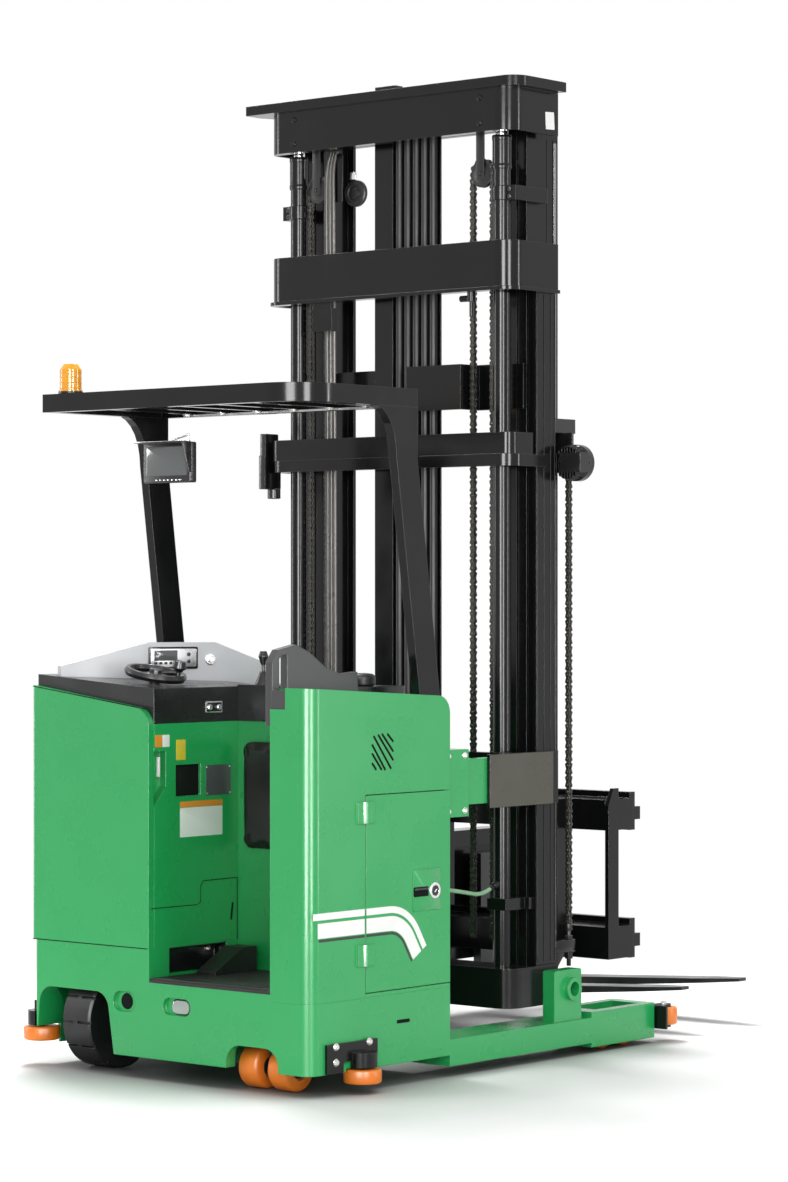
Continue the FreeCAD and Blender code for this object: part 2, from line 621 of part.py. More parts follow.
def battery():
    low = D.door_bottom + D.battery_wall / 2
    name_part(slab((D.bay_length + D.battery_wall + D.battery_clear,
                    D.body_length - D.battery_wall / 2 - D.battery_clear),
                   (-half + D.door_thick + D.door_gap + D.battery_clear,
                    D.battery_end - D.battery_clear),
                   (low, D.battery_top)), "battery")


def battery_door():
    leaf = slab((D.door_rear + D.door_gap, D.body_length), (-half, D.door_thick - half),
                (D.door_bottom + D.door_gap, D.door_top - D.door_gap))
    hinge_side = -half - D.hinge_out
    knuckles = []
    for height in hinge_heights:
        knuckles.append(rod("z", height, height + D.hinge_tall, D.hinge_radius,
                            D.door_rear, hinge_side))
        knuckles.append(slab((D.door_rear, D.door_rear + 40), (hinge_side, -half),
                             (height, height + D.hinge_tall)))
    name_part(fuse(leaf, knuckles), "battery_door")


def dash():
    block = pad("YZ", D.panel_thick, D.dash_front,
                [(D.left_wall, D.housing_top), (D.left_face - D.dash_inset, D.housing_top),
                 (D.left_face - D.dash_inset, D.dash_top_outer), (D.left_wall, D.dash_top_inner)])
    column = tilt(rod("z", -90, -20 - D.seat_gap, D.column_radius, 0, 0))
    name_part(cut(fuse(block, column), board_body(3)), "dash")


def tilt(shape):
    """Stand a shape modelled about the origin on the steering wheel's leaning axis."""
    group = together(shape)
    group.Placement.Rotation = FreeCAD.Rotation(FreeCAD.Vector(1, 0, 0), 1)
    bind(group, "Placement.Rotation.Angle", D.steer_tilt)
    place(group, D.steer_along, D.steer_side, D.steer_height)
    return group


def board_body(clear):
    """The upright diagonal board, grown by a clearance when it is used as a cutter."""
    low, high = D.board_base, D.board_top + clear
    body = pad("XZ", -clear, D.board_thick + clear,
               [(length(-clear), low - clear), (D.board_length + clear, low - clear),
                (D.board_length + clear, D.board_end_top),
                (D.board_length - D.board_right_in + clear, high),
                (D.board_left_in - clear, high), (length(-clear), D.board_end_top)])
    body.Placement.Rotation = FreeCAD.Rotation(FreeCAD.Vector(0, 0, 1), 0)
    bind(body, "Placement.Rotation.Angle", D.board_angle)
    place(body, D.board_rear, D.board_side - D.board_thick, length(0))
    return body


def instrument_board():
    name_part(fuse(board_body(0), slab((D.dash_front + 30, D.body_length - 30),
                                       (D.board_side - D.board_foot_in,
                                        D.board_side - D.board_foot_in + 16),
                                       (D.housing_top, D.board_base + 4))), "instrument_board")


def control_tray():
    tray = pad("XY", D.housing_top, D.tray_top,
               rectangle((D.bay_length - 2, D.body_length - 14), (D.wing_wall, D.left_wall)))
    round_body(tray, "z", [(D.body_length - 14, D.wing_wall)], length(30))
    name_part(tray, "control_tray")


def arm_pad():
    name_part(together(rod("z", D.tray_top, D.tray_top + D.rest_tall, D.rest_radius,
                           D.rest_along, D.rest_side)), "arm_pad")


def grab_rail():
    outline = [(D.trim_rear, D.trim_bottom), (D.bay_length - 2, D.trim_bottom),
               (D.bay_length - 2, 1290),
               (426, 1347), (346, 1341), (272, 1362), (189, 1415), (126, 1439), (44, 1424),
               (D.trim_rear, 1385)]
    slot = [(45, 1212), (83, 1236), (83, 1407), (60, 1407), (45, 1395)]
    rail = pad("XZ", D.wing_wall, D.wing_wall + D.trim_thick, outline, [slot])
    grip = slab((4, D.notch_end - D.grip_clear),
                (D.wing_wall - D.notch_wide + D.grip_clear, D.wing_wall),
                (D.notch_bottom, D.notch_bottom + D.grip_tall))
    name_part(fuse(rail, grip), "grab_rail")


def interior():
    mat = pad("XY", D.floor_top, D.floor_top + D.mat_thick,
              rectangle((0, D.bay_length - 4), (D.wing_wall + 3, D.left_wall - 4)))
    name_part(bevel_body(mat, "y", [(0, D.floor_top + D.mat_thick)], D.mat_thick / 2), "floor_mat")
    mat_top = D.floor_top + D.mat_thick
    name_part(pad("XZ", D.left_wall - 118, D.left_wall - 34,
                  [(196, mat_top), (398, mat_top), (398, mat_top + 84), (330, mat_top + 84),
                   (196, mat_top + 12)]), "pedal")
    name_part(slab((D.bay_length - D.pad_thick - D.pad_clear, D.bay_length - D.pad_clear),
                   (D.pad_right, D.pad_left), (D.pad_low, D.pad_high)), "front_pad")


def joystick():
    boot = cone(D.tray_top, D.tray_top + 44, 30, 12, D.stick_along, D.stick_side)
    stick = rod("z", D.tray_top, D.stick_top - D.stick_knob, 6, D.stick_along, D.stick_side)
    knob = revolve([(0, D.stick_top - 46), (9, D.stick_top - 46), (D.stick_knob, D.stick_top - 18),
                    (D.stick_knob - 6, D.stick_top), (0, D.stick_top)],
                   D.stick_along, D.stick_side)
    name_part(fuse(boot, stick, knob), "joystick")


def steering_wheel():
    """Rim, three spokes, hub and spinner knob, modelled about the origin and then tilted."""
    ring, rim = D.steer_ring, D.steer_rim
    band = revolve([(ring - rim / 2, -rim), (ring + rim / 2, -rim), (ring + rim, 0),
                    (ring + rim / 2, rim), (ring - rim / 2, rim), (ring - rim, 0)], 0, 0)
    hub = cone(-20, 16, D.steer_hub, D.steer_hub - 6, 0, 0)
    spokes = [slab((-ring, ring), (-11, 11), (-5, 5)), slab((-11, 11), (-ring, 0), (-5, 5))]
    stalk = rod("z", 0, 30, 8, 20, 10 - ring)
    knob = revolve([(0, 26), (12, 26), (25, 40), (20, 62), (0, 66)], 20, 10 - ring)
    name_part(together(tilt(fuse(band, hub, spokes, stalk, knob))), "steering_wheel")


# ---------------------------------------------------------------- legs
def leg(sign, label):
    """One straddle leg with its mast ear; sign is -1 on the right and 1 on the left."""
    plan = [(D.body_length, sign * D.leg_inner), (D.tip_start - D.tip_taper, sign * D.leg_inner),
            (D.tip_start - D.tip_taper, sign * half), (D.body_length, sign * half)]
    bar = pad("XY", D.leg_bottom, D.leg_top, plan)
    tip_plan = [(D.tip_start - D.tip_taper, sign * D.leg_inner), (D.tip_start, sign * D.tip_inner),
                (D.leg_end, sign * D.tip_inner), (D.leg_end, sign * half),
                (D.tip_start - D.tip_taper, sign * half)]
    tip = pad("XY", D.tip_bottom, D.tip_top, tip_plan)
    round_body(tip, "z", [(D.leg_end, sign * half), (D.leg_end, sign * D.tip_inner)], 14)
    low, high = sorted((sign * D.opening_inner, sign * D.opening_outer), key=lambda s: s.value)
    opening = slab((D.opening_start, D.opening_end), (low, high), (D.tip_bottom - 1, D.tip_top + 1))
    axles = [rod("y", low - 1, high + 1, D.load_axle, along, D.load_radius)
             for along in (D.load_first, D.load_second)]
    ear_inner = D.mast_half + D.seat_gap
    near, far = sorted((sign * ear_inner, sign * D.ear_outer), key=lambda s: s.value)
    ear = pad("XZ", near, far, rectangle((D.ear_start, D.ear_end), (D.leg_top, D.ear_top)))
    round_body(ear, "y", [(D.ear_start, D.ear_top), (D.ear_end, D.ear_top)], 10)
    boss_low, boss_high = sorted((sign * D.ear_outer, sign * (D.ear_outer + D.ear_boss_out)),
                                 key=lambda s: s.value)
    boss = rod("y", boss_low, boss_high, D.ear_boss, D.ear_bore_along, D.ear_bore_height)
    bore = rod("y", near - 60, far + 60, D.ear_bore, D.ear_bore_along, D.ear_bore_height)
    frame = fuse(cut(fuse(bar, tip), opening), axles)
    name_part(cut(fuse(frame, ear, boss), bore), label)


def load_wheel(sign, along, label):
    middle = sign * (D.opening_inner + D.opening_outer) / 2
    wheel = rod("y", middle - D.load_width / 2, middle + D.load_width / 2, D.load_radius,
                along, D.load_radius)
    bore = rod("y", middle - D.load_width, middle + D.load_width, D.load_axle + D.running_gap,
               along, D.load_radius)
    name_part(cut(wheel, bore), label)


# ---------------------------------------------------------------- drive wheel and caster
def drive_set():
    table = rod("z", D.turntable_bottom, D.turntable_top,
                D.turntable_well - D.turntable_gap, D.drive_along, D.drive_side)
    motor = rod("z", D.turntable_top, D.motor_top, D.motor_radius,
                D.drive_along, D.drive_side)
    near = D.drive_side + D.drive_width / 2 + D.gear_gap
    gear = fuse(slab((D.drive_along - 62, D.drive_along + 62), (near, near + D.gear_thick),
                     (D.drive_radius, D.turntable_bottom)),
                rod("y", near, near + D.gear_thick, 62, D.drive_along, D.drive_radius))
    shaft = rod("y", D.drive_side - D.drive_width / 2 + 20, near + 1, D.drive_shaft,
                D.drive_along, D.drive_radius)
    name_part(fuse(table, motor, gear, shaft), "drive_unit")
    low, high = D.drive_side - D.drive_width / 2, D.drive_side + D.drive_width / 2
    name_part(together(tyre()), "drive_tyre")
    rim = rod("y", low + 12, high - 3, D.drive_radius - D.drive_tyre - D.seat_gap,
              D.drive_along, D.drive_radius)
    bore = rod("y", low + 19, high + 1, D.drive_shaft + D.running_gap,
               D.drive_along, D.drive_radius)
    name_part(cut(rim, bore), "drive_rim")


def tyre():
    """The drive tyre: a band with bevelled shoulders and staggered slots across its tread."""
    width, outer = D.drive_width, D.drive_radius
    body = doc.addObject("PartDesign::Body", "Tyre")
    section = sketch_on(body, "YZ", 0, 0, [[
        (0, outer - D.drive_tyre), (width, outer - D.drive_tyre), (width, outer - D.tyre_shoulder),
        (width - D.tyre_shoulder, outer), (D.tyre_shoulder, outer), (0, outer - D.tyre_shoulder)]])
    band = body.newObject("PartDesign::Revolution", "Band")
    band.Profile = section
    band.ReferenceAxis = (section, ["H_Axis"])
    band.Angle = 360
    doc.recompute()
    pockets = []
    for near, far in ((-1, D.slot_long), (width - D.slot_long, width + 1)):
        lift = outer + 1
        plan = sketch_on(body, "XY", lift, lift,
                         [rectangle((-D.slot_wide / 2, D.slot_wide / 2), (near, far))])
        slot = body.newObject("PartDesign::Pocket", "Slot")
        slot.Profile = plan
        bind(slot, "Length", D.slot_deep + 1)
        doc.recompute()
        row = body.newObject("PartDesign::PolarPattern", "Slots")
        row.Originals = [slot]
        row.Axis = (section, ["H_Axis"])
        row.Angle = 360
        bind(row, "Occurrences", D.tread_slots)
        body.Tip = row
        doc.recompute()
        pockets.append(row)
    place(body, D.drive_along, D.drive_side - width / 2, D.drive_radius)
    return body


def caster_set():
    along = D.caster_along - D.caster_trail
    plate = rod("z", D.caster_cavity_top - 16, D.caster_cavity_top - 1, D.caster_plate,
                D.caster_along, D.caster_side)
    stem = rod("z", D.caster_cavity_top - 2, D.caster_cavity_top - D.seat_gap, 40,
               D.caster_along, D.caster_side)
    web_half = D.caster_gap / 2 - 6
    web = pad("XZ", D.caster_side - web_half, D.caster_side + web_half,
              [(along - 30, D.caster_radius - 30), (along + 30, D.caster_radius - 30),
               (D.caster_along + 46, D.caster_cavity_top - 15),
               (D.caster_along - 46, D.caster_cavity_top - 15)])
    axle = rod("y", D.caster_side - D.caster_gap / 2 - D.caster_width - 4,
               D.caster_side + D.caster_gap / 2 + D.caster_width + 4, D.caster_axle,
               along, D.caster_radius)
    name_part(fuse(plate, stem, web, axle), "caster_yoke")
    wheels = []
    for sign in (-1, 1):
        near = D.caster_side + sign * D.caster_gap / 2
        far = near + sign * D.caster_width
        low, high = sorted((near, far), key=lambda s: s.value)
        wheel = rod("y", low, high, D.caster_radius, along, D.caster_radius)
        bore = rod("y", low - 1, high + 1, D.caster_axle + D.running_gap,
                   along, D.caster_radius)
        wheels.append(cut(wheel, bore))
    name_part(together(*wheels), "caster_wheels")


# ---------------------------------------------------------------- guide rollers
def rear_bracket(sign, along, plate_start, plate_end, over, foot_drop):
    """Side plate with a hub that holds a rear guide roller's pin, raised by over."""
    near, far = sorted((sign * half, sign * (half + D.side_plate_thick)), key=lambda s: s.value)
    low, high, mid = D.side_plate_bottom + over, D.side_plate_top + over, D.hub_top + over
    foot = length(plate_start) + 78
    plate = pad("XZ", near, far,
                [(plate_start, low - foot_drop), (foot, low - foot_drop),
                 (foot, low + 22), (plate_end, low + 30), (plate_end, high), (plate_start, high)])
    side = sign * D.rear_roller_side
    hub = rod("z", low, mid, D.hub_radius, along, side)
    body_half = slab((along - D.hub_radius - 1, along + D.hub_radius + 1),
                     tuple(sorted((sign * half, sign * (half - 2 * D.hub_radius)),
                                  key=lambda s: s.value)), (low - 1, mid + 1))
    pin = rod("z", D.rear_roller_bottom + over + 4, low, D.roller_pin, along, side)
    return fuse(cut(fuse(plate, hub), body_half), pin)


def front_bracket(sign):
    """Plate and two lugs on a leg's end, with the roller's pin between them."""
    side = sign * D.front_roller_side
    plate_end = D.leg_end + D.front_plate_thick
    centre = D.leg_end + D.front_roller_out
    low = D.front_roller_bottom - D.roller_gap - D.lug_thick
    high = D.front_roller_bottom + D.front_roller_tall + D.roller_gap
    plate = slab((D.leg_end, plate_end), (side - D.front_plate_half, side + D.front_plate_half),
                 (low, high + D.lug_thick))
    lugs = []
    for bottom in (low, high):
        lugs.append(slab((plate_end, centre), (side - 26, side + 26),
                         (bottom, bottom + D.lug_thick)))
        lugs.append(rod("z", bottom, bottom + D.lug_thick, 26, centre, side))
    pin = rod("z", low, high + D.lug_thick, D.roller_pin, centre, side)
    return fuse(plate, lugs, pin)


def guide_roller(along, side, bottom, tall, radius, label):
    wheel = rod("z", bottom, bottom + tall, radius, along, side)
    bore = rod("z", bottom - 1, bottom + tall + 1, D.roller_pin + D.running_gap, along, side)
    name_part(cut(wheel, bore), label)


def guide_rollers():
    name_part(together(rear_bracket(-1, D.rear_right_along, D.right_plate_start,
                                    D.right_plate_end, length(0), 10),
                       rear_bracket(1, D.rear_left_along, D.left_plate_start,
                                    D.left_plate_end, D.left_roller_over, 0)),
              "rear_roller_brackets")
    name_part(together(front_bracket(-1), front_bracket(1)), "front_roller_brackets")
    for sign, along, over, label in ((-1, D.rear_right_along, length(0), "right"),
                                     (1, D.rear_left_along, D.left_roller_over, "left")):
        guide_roller(along, sign * D.rear_roller_side, D.rear_roller_bottom + over,
                     D.rear_roller_tall, D.rear_roller_radius, "rear_%s_roller" % label)
        guide_roller(D.leg_end + D.front_roller_out, sign * D.front_roller_side,
                     D.front_roller_bottom, D.front_roller_tall, D.front_roller_radius,
                     "front_%s_roller" % label)


# ---------------------------------------------------------------- mast
def tie(bottom, top, depth, out=0, front=None, corner=None):
    """A beam round the back and both sides of the mast, its outer faces moved out by out."""
    front = D.mast_front if front is None else front
    corner = D.mast_corner if corner is None else corner
    rear, side = D.mast_rear - out, D.mast_half + out
    outline = [(rear, -side), (front, -side), (front, D.tie_wall - D.mast_half),
               (D.mast_rear + depth, D.tie_wall - D.mast_half),
               (D.mast_rear + depth, D.mast_half - D.tie_wall),
               (front, D.mast_half - D.tie_wall), (front, side), (rear, side)]
    band = pad("XY", bottom, top, outline)
    return round_body(band, "z", [(rear, -side), (rear, side)], corner)


def channel(sign, out, bottom, top, front):
    """One C-shaped mast rail, open towards the middle of the truck."""
    back = front - D.rail_flange
    rear = D.rail_rear + D.rail_flange
    web = out - D.rail_web
    tips = out - D.rail_width
    outline = [(D.rail_rear, sign * out), (front, sign * out), (front, sign * tips),
               (back, sign * tips), (back, sign * web), (rear, sign * web), (rear, sign * tips),
               (D.rail_rear, sign * tips)]
    return pad("XY", bottom, top, outline)


def shoe(sign, rail_out, bottom, front):
    """A guide shoe on a rail's outer side that runs inside the next stage's channel."""
    reach = rail_out + D.rail_gap + D.rail_width - D.rail_web - D.shoe_clear
    low, high = sorted((sign * rail_out, sign * reach), key=lambda s: s.value)
    return slab((D.rail_rear + D.rail_flange + D.shoe_clear,
                 front - D.rail_flange - D.shoe_clear), (low, high),
                (bottom, bottom + D.shoe_tall))


def outer_stage():
    name_part(tie(D.foot_bottom, D.foot_top, D.foot_depth), "mast_foot")
    plates = [slab((D.side_plate_rear, D.side_plate_front),
                   tuple(sorted((sign * D.mast_half, sign * (D.mast_half + D.tie_wall)),
                                key=lambda s: s.value)), (D.low_tie_bottom, D.low_tie_top))
              for sign in (-1, 1)]
    low = fuse(tie(D.low_tie_bottom, D.low_tie_top, D.tie_depth), plates)
    mid = fuse(tie(D.mid_tie_bottom, D.mid_tie_bottom + D.mid_lip, D.tie_depth, 0, D.mid_lip_front),
               tie(D.mid_tie_bottom + D.mid_lip, D.mid_tie_top, D.tie_depth, -D.tie_wall / 2,
                   D.mid_lip_front - D.mast_corner, D.mid_corner))
    high = fuse(tie(D.top_tie_bottom, D.top_tie_bottom + D.tie_lip, D.tie_depth, D.tie_lip_out),
                tie(D.top_tie_bottom + D.tie_lip, D.top_tie_top, D.tie_depth))
    near = D.mast_rear + 4
    below = D.top_tie_bottom
    tee = [rod("z", below - 86, below - 1, 7, near + 16, D.tee_side),
           rod("z", below - 34, below + 1, 15, near + 16, D.tee_side),
           rod("y", D.tee_side, D.tee_side + 46, 11, near + 16, below - 22)]
    valve = [slab((near, near + 36), (D.valve_side - 46, D.valve_side + 46),
                  (below - 104, below - 22)),
             slab((near + 8, near + 20), (D.valve_side - 34, D.valve_side + 50),
                  (below - 23, below + 1))]
    name_part(together(low, mid, fuse(high, tee, valve)), "outer_ties")
    name_part(together(*[channel(sign, outer_rail_out, D.foot_bottom, D.outer_rail_top,
                                 D.mast_front) for sign in (-1, 1)]), "outer_rails")
    barrels = []
    for sign in (-1, 1):
        side = sign * D.barrel_side
        tube = rod("z", D.foot_top, D.barrel_top, D.barrel_radius, D.barrel_along, side)
        gland = rod("z", D.barrel_top - D.gland_tall, D.barrel_top, D.gland_radius,
                    D.barrel_along, side)
        shelf = [slab((D.shelf_rear, D.shelf_front),
                      tuple(sorted((sign * D.shelf_inner, sign * D.shelf_outer),
                                   key=lambda s: s.value)), (D.shelf_bottom, D.shelf_top)),
                 slab((D.shelf_front - 20, D.rail_rear),
                      tuple(sorted((sign * (D.shelf_outer - 5), sign * (D.shelf_outer + 20)),
                                   key=lambda s: s.value)), (D.shelf_bottom, D.shelf_top))]
        span = (D.outer_rail_top + 145, D.outer_rail_top + 195)
        clamp = [slab((D.barrel_along - 12, D.barrel_along + 24),
                      tuple(sorted((side, sign * (mid_rail_out + 30)), key=lambda s: s.value)), span),
                 slab((D.barrel_along, D.rail_rear + 80),
                      tuple(sorted((sign * (mid_rail_out + 4), sign * (mid_rail_out + 30)),
                                   key=lambda s: s.value)), span)]
        bore = rod("z", D.barrel_floor, D.barrel_top + 1, D.barrel_bore, D.barrel_along, side)
        barrels.append(cut(fuse(tube, gland, shelf, clamp, [hose_port()] if sign < 0 else []), bore))
    name_part(together(*barrels), "lift_barrels")


def hose_port():
    """The leaning union on the right cylinder, modelled about the origin and then placed."""
    port = together(fuse(rod("x", -D.port_reach, 0, D.port_round, 0, 0),
                         rod("x", -D.port_reach + 18, -D.barrel_radius, D.port_round + 4, 0, 0)))
    port.Placement.Rotation = FreeCAD.Rotation(FreeCAD.Vector(0, 1, 0), -1)
    bind(port, "Placement.Rotation.Angle", -D.port_lean)
    place(port, D.barrel_along, -D.barrel_side, D.port_height)
    return port


def lift_hose():
    """The supply hose from the body to the right lift cylinder; its middle points are as chosen."""
    lean = math.radians(D.port_lean.value)
    end = FreeCAD.Vector(D.barrel_along.value - D.port_reach.value * math.cos(lean),
                         D.hose_side.value,
                         D.port_height.value - D.port_reach.value * math.sin(lean))
    points = [FreeCAD.Vector(x, D.hose_side.value, z) for x, z in (
        ((D.body_length + D.hose_gland).value, D.gland_height.value), (784, D.gland_height.value),
        (872, 601), (970, 586))]
    points += [end - FreeCAD.Vector(50 * math.cos(lean), 0, 50 * math.sin(lean)), end]
    edges, here, bends = [], points[0], []
    for before, corner, after in zip(points, points[1:], points[2:]):
        run = 0.45 * min((before - corner).Length, (after - corner).Length)
        inward, outward = (before - corner).normalize(), (after - corner).normalize()
        half_turn = (math.pi - inward.getAngle(outward)) / 2
        bends.append(run / math.tan(half_turn))
        bow = bends[-1] * (1 / math.cos(half_turn) - 1)
        edges += [Part.LineSegment(here, corner + inward * run).toShape(),
                  Part.Arc(corner + inward * run, corner + (inward + outward).normalize() * bow,
                           corner + outward * run).toShape()]
        here = corner + outward * run
    edges.append(Part.LineSegment(here, end).toShape())
    path = Part.Wire(edges)
    ring = Part.makeCircle(D.lift_hose_radius.value, points[0], FreeCAD.Vector(1, 0, 0))
    tube = doc.addObject("Part::Feature", "Tube")
    tube.Shape = path.makePipeShell([Part.Wire([ring])], True, True)
    name_part(together(tube), "lift_hose")
    print("lift_hose bends", [round(bend) for bend in bends], "length %.1f" % path.Length,
          "volume ratio %.4f" % (tube.Shape.Volume
                                 / (math.pi * D.lift_hose_radius.value ** 2 * path.Length)))


def mast_arms():
    arms = []
    near, edge = D.mast_rear - D.seat_gap, D.mast_half + D.seat_gap
    for sign in (-1, 1):
        middle = sign * D.arm_middle
        half_thick = D.arm_thick / 2
        bar = slab((D.body_length, D.mast_rear + D.arm_over),
                   (middle - half_thick, middle + half_thick), (D.arm_bottom, D.arm_top))
        flange = slab((D.body_length, D.body_length + D.arm_plate),
                      (middle - D.arm_plate_half, middle + D.arm_plate_half),
                      (D.arm_bottom - D.arm_plate_over, D.arm_top + D.arm_plate_over))
        wrap = pad("XY", D.arm_bottom - 1, D.arm_top + 1,
                   rectangle((near, D.mast_front), (-edge, edge)))
        round_body(wrap, "z", [(near, -edge), (near, edge)], D.mast_corner)
        arms.append(fuse(cut(bar, wrap), flange))
    name_part(together(*arms), "mast_arms")


def middle_stage():
    rails = []
    for sign in (-1, 1):
        rails.append(fuse(channel(sign, mid_rail_out, D.mid_rail_bottom, D.mast_top,
                                  D.stage_front),
                          shoe(sign, mid_rail_out, D.mid_rail_bottom + 6, D.mast_front),
                          shoe(sign, mid_rail_out, D.mid_rail_bottom + 420, D.mast_front)))
    name_part(together(*rails), "mid_rails")
    band = tie(D.beam_bottom, D.mast_top, D.tie_depth)
    ear = mid_rail_out - D.rail_width + 1
    cap = pad("XY", D.mast_top, D.cap_top,
              [(D.mast_rear - D.cap_rear_over, -D.mast_half - D.cap_over_right),
               (D.cap_ear_front, -D.mast_half - D.cap_over_right), (D.cap_ear_front, -ear),
               (D.cap_front, -ear), (D.cap_front, ear), (D.cap_ear_front, ear),
               (D.cap_ear_front, D.mast_half), (D.mast_rear + 60, D.mast_half + D.cap_over_left),
               (D.mast_rear - D.cap_rear_over, D.mast_half + D.cap_over_left)])
    round_body(cap, "z", [(D.mast_rear - D.cap_rear_over, -D.mast_half - D.cap_over_right)],
               D.mast_corner)
    block = slab((D.mast_rear - D.cap_rear_over + 4, D.mast_rear + 30), (-59, 33),
                 (D.cap_top, D.cap_top + D.block_tall))
    name_part(fuse(band, cap, block), "top_beam")
    name_part(together(*[rod("z", D.rod_bottom, D.mast_top, D.rod_radius, D.barrel_along,
                             sign * D.barrel_side) for sign in (-1, 1)]), "lift_rods")
    chains = []
    for sign in (-1, 1):
        side = sign * D.chain_side
        near, far = D.chain_along - D.chain_wide / 2, D.chain_along + D.chain_wide / 2
        wheel = rod("x", near, far, D.pulley_radius, side, D.pulley_height)
        hanger = slab((near - 8, near), (side - 16, side + 16), (D.pulley_height - 20, D.mast_top))
        pin = rod("x", near - 14, far, 12, side, D.pulley_height)
        strands = [slab((near + 1, far - 1),
                        (side + end * D.pulley_radius - D.chain_thick / 2,
                         side + end * D.pulley_radius + D.chain_thick / 2),
                        (D.chain_bottom, D.pulley_height)) for end in (-1, 1)]
        chains.append(fuse(wheel, hanger, pin, strands))
    name_part(together(*chains), "rear_chains")
    sheet_left = pad("XY", D.trunk_bottom, D.mast_top,
                     [(D.trunk_along, D.trunk_left), (D.trunk_along, D.trunk_left - D.trunk_width),
                      (D.trunk_front, D.trunk_left - D.trunk_width),
                      (D.trunk_front, D.trunk_left - D.trunk_width + D.trunk_sheet),
                      (D.trunk_along + D.trunk_sheet, D.trunk_left - D.trunk_width + D.trunk_sheet),
                      (D.trunk_along + D.trunk_sheet, D.trunk_left - D.trunk_sheet),
                      (D.trunk_front, D.trunk_left - D.trunk_sheet), (D.trunk_front, D.trunk_left)])
    backing = slab((D.trunk_front - D.trunk_sheet, D.trunk_front),
                   (D.trunk_left - D.trunk_width - 5 * D.hose_pitch, D.trunk_left - D.trunk_width),
                   (D.trunk_bottom, D.mast_top))
    name_part(fuse(sheet_left, backing), "hose_trunk")
    beam = slab((D.hose_beam_rear, D.hose_beam_rear + 22), (-D.hose_beam_far, -D.hose_beam_near),
                (D.hose_beam_bottom, D.hose_beam_top))
    arm = slab((D.hose_beam_rear, D.rail_rear - 2), (-D.hose_beam_far, 14 - D.hose_beam_far),
               (D.hose_beam_bottom, D.hose_beam_top))
    foot = slab((D.rail_rear - 18, D.rail_rear), (-mid_rail_out, -inner_rail_out - 4),
                (D.hose_beam_bottom, D.hose_beam_top))
    link = slab((D.rail_rear - 18, D.rail_rear - 2), (-mid_rail_out, 14 - D.hose_beam_far),
                (D.hose_beam_bottom, D.hose_beam_top))
    name_part(fuse(beam, arm, foot, link), "hose_beam")
    hoses = []
    for number in range(5):
        side = D.trunk_left - D.trunk_width - D.hose_first - D.hose_radius - number * D.hose_pitch
        hoses.append(rod("z", D.trunk_bottom, D.mast_top, D.hose_radius,
                         D.trunk_front - D.trunk_sheet - D.hose_radius - D.shoe_clear, side))
    name_part(together(*hoses), "mast_hoses")


def inner_stage():
    rails = []
    for sign in (-1, 1):
        rails.append(fuse(channel(sign, inner_rail_out, D.inner_rail_bottom, D.inner_rail_top,
                                  D.stage_front),
                          shoe(sign, inner_rail_out, D.inner_rail_bottom + 6, D.stage_front),
                          shoe(sign, inner_rail_out, D.inner_rail_bottom + 420, D.stage_front)))
    name_part(together(*rails), "inner_rails")
    inside = inner_rail_out - D.rail_width
    beams = [slab((D.cross_rear, D.cross_front), (-inside, inside), (bottom, top))
             for bottom, top in ((D.cross_bottom, D.cross_top),
                                 (D.cross_high_bottom, D.cross_high_top))]
    name_part(together(*beams), "inner_beams")


def traverse_frame():
    inside = inner_rail_out - D.rail_width - D.plate_clear
    pieces = []
    for sign in (-1, 1):
        near, far = sorted((sign * (inside - D.plate_thick), sign * inside),
                           key=lambda s: s.value)
        pieces.append(pad("XZ", near, far,
                          [(D.plate_rear, D.carriage_bottom), (D.frame_rear, D.carriage_bottom),
                           (D.frame_rear, D.upper_rail_top), (D.plate_rear + 110, D.carriage_top),
                           (D.plate_rear, D.carriage_top)]))
        reach = inner_rail_out - D.rail_web - D.shoe_clear
        low, high = sorted((sign * inside, sign * reach), key=lambda s: s.value)
        for bottom in (D.carriage_bottom + 10, D.carriage_top - D.shoe_tall - 10):
            pieces.append(slab((D.plate_rear, D.stage_front - D.rail_flange - D.shoe_clear),
                               (low, high), (bottom, bottom + D.shoe_tall)))
        end_low, end_high = sorted((sign * D.frame_half, sign * (D.frame_half + D.end_plate)),
                                   key=lambda s: s.value)
        pieces.append(pad("XZ", end_low, end_high,
                          [(D.frame_rear, D.carriage_bottom), (D.frame_front, D.carriage_bottom),
                           (D.frame_front, D.lower_rail_top),
                           (D.frame_rear + D.end_depth, D.lower_rail_top),
                           (D.frame_rear + D.end_depth, D.upper_rail_bottom),
                           (D.frame_front, D.upper_rail_bottom), (D.frame_front, D.upper_rail_top),
                           (D.frame_rear + D.end_depth, D.upper_rail_top),
                           (D.frame_rear + D.end_depth, D.end_top),
                           (D.frame_rear + D.end_depth / 2, D.end_top),
                           (D.frame_rear, D.end_top - D.end_chamfer)]))
    across = (-D.frame_half, D.frame_half)
    for bottom, top in ((D.upper_rail_bottom, D.upper_rail_top),
                        (D.carriage_bottom, D.lower_rail_top)):
        pieces.append(slab((D.frame_rear, D.frame_front), across, (bottom, top)))
        pieces.append(slab((D.frame_front, D.frame_front + D.rack_web), across,
                           (bottom - D.rack_lip / 4, top + D.rack_lip)))
        middle = (bottom + top) / 2
        pieces.append(slab((D.frame_front + D.rack_web, D.frame_front + D.rack_web + D.rack_depth),
                           across, (middle - D.rack_tall / 2, middle + D.rack_tall / 2)))
    name_part(fuse(pieces), "traverse_frame")


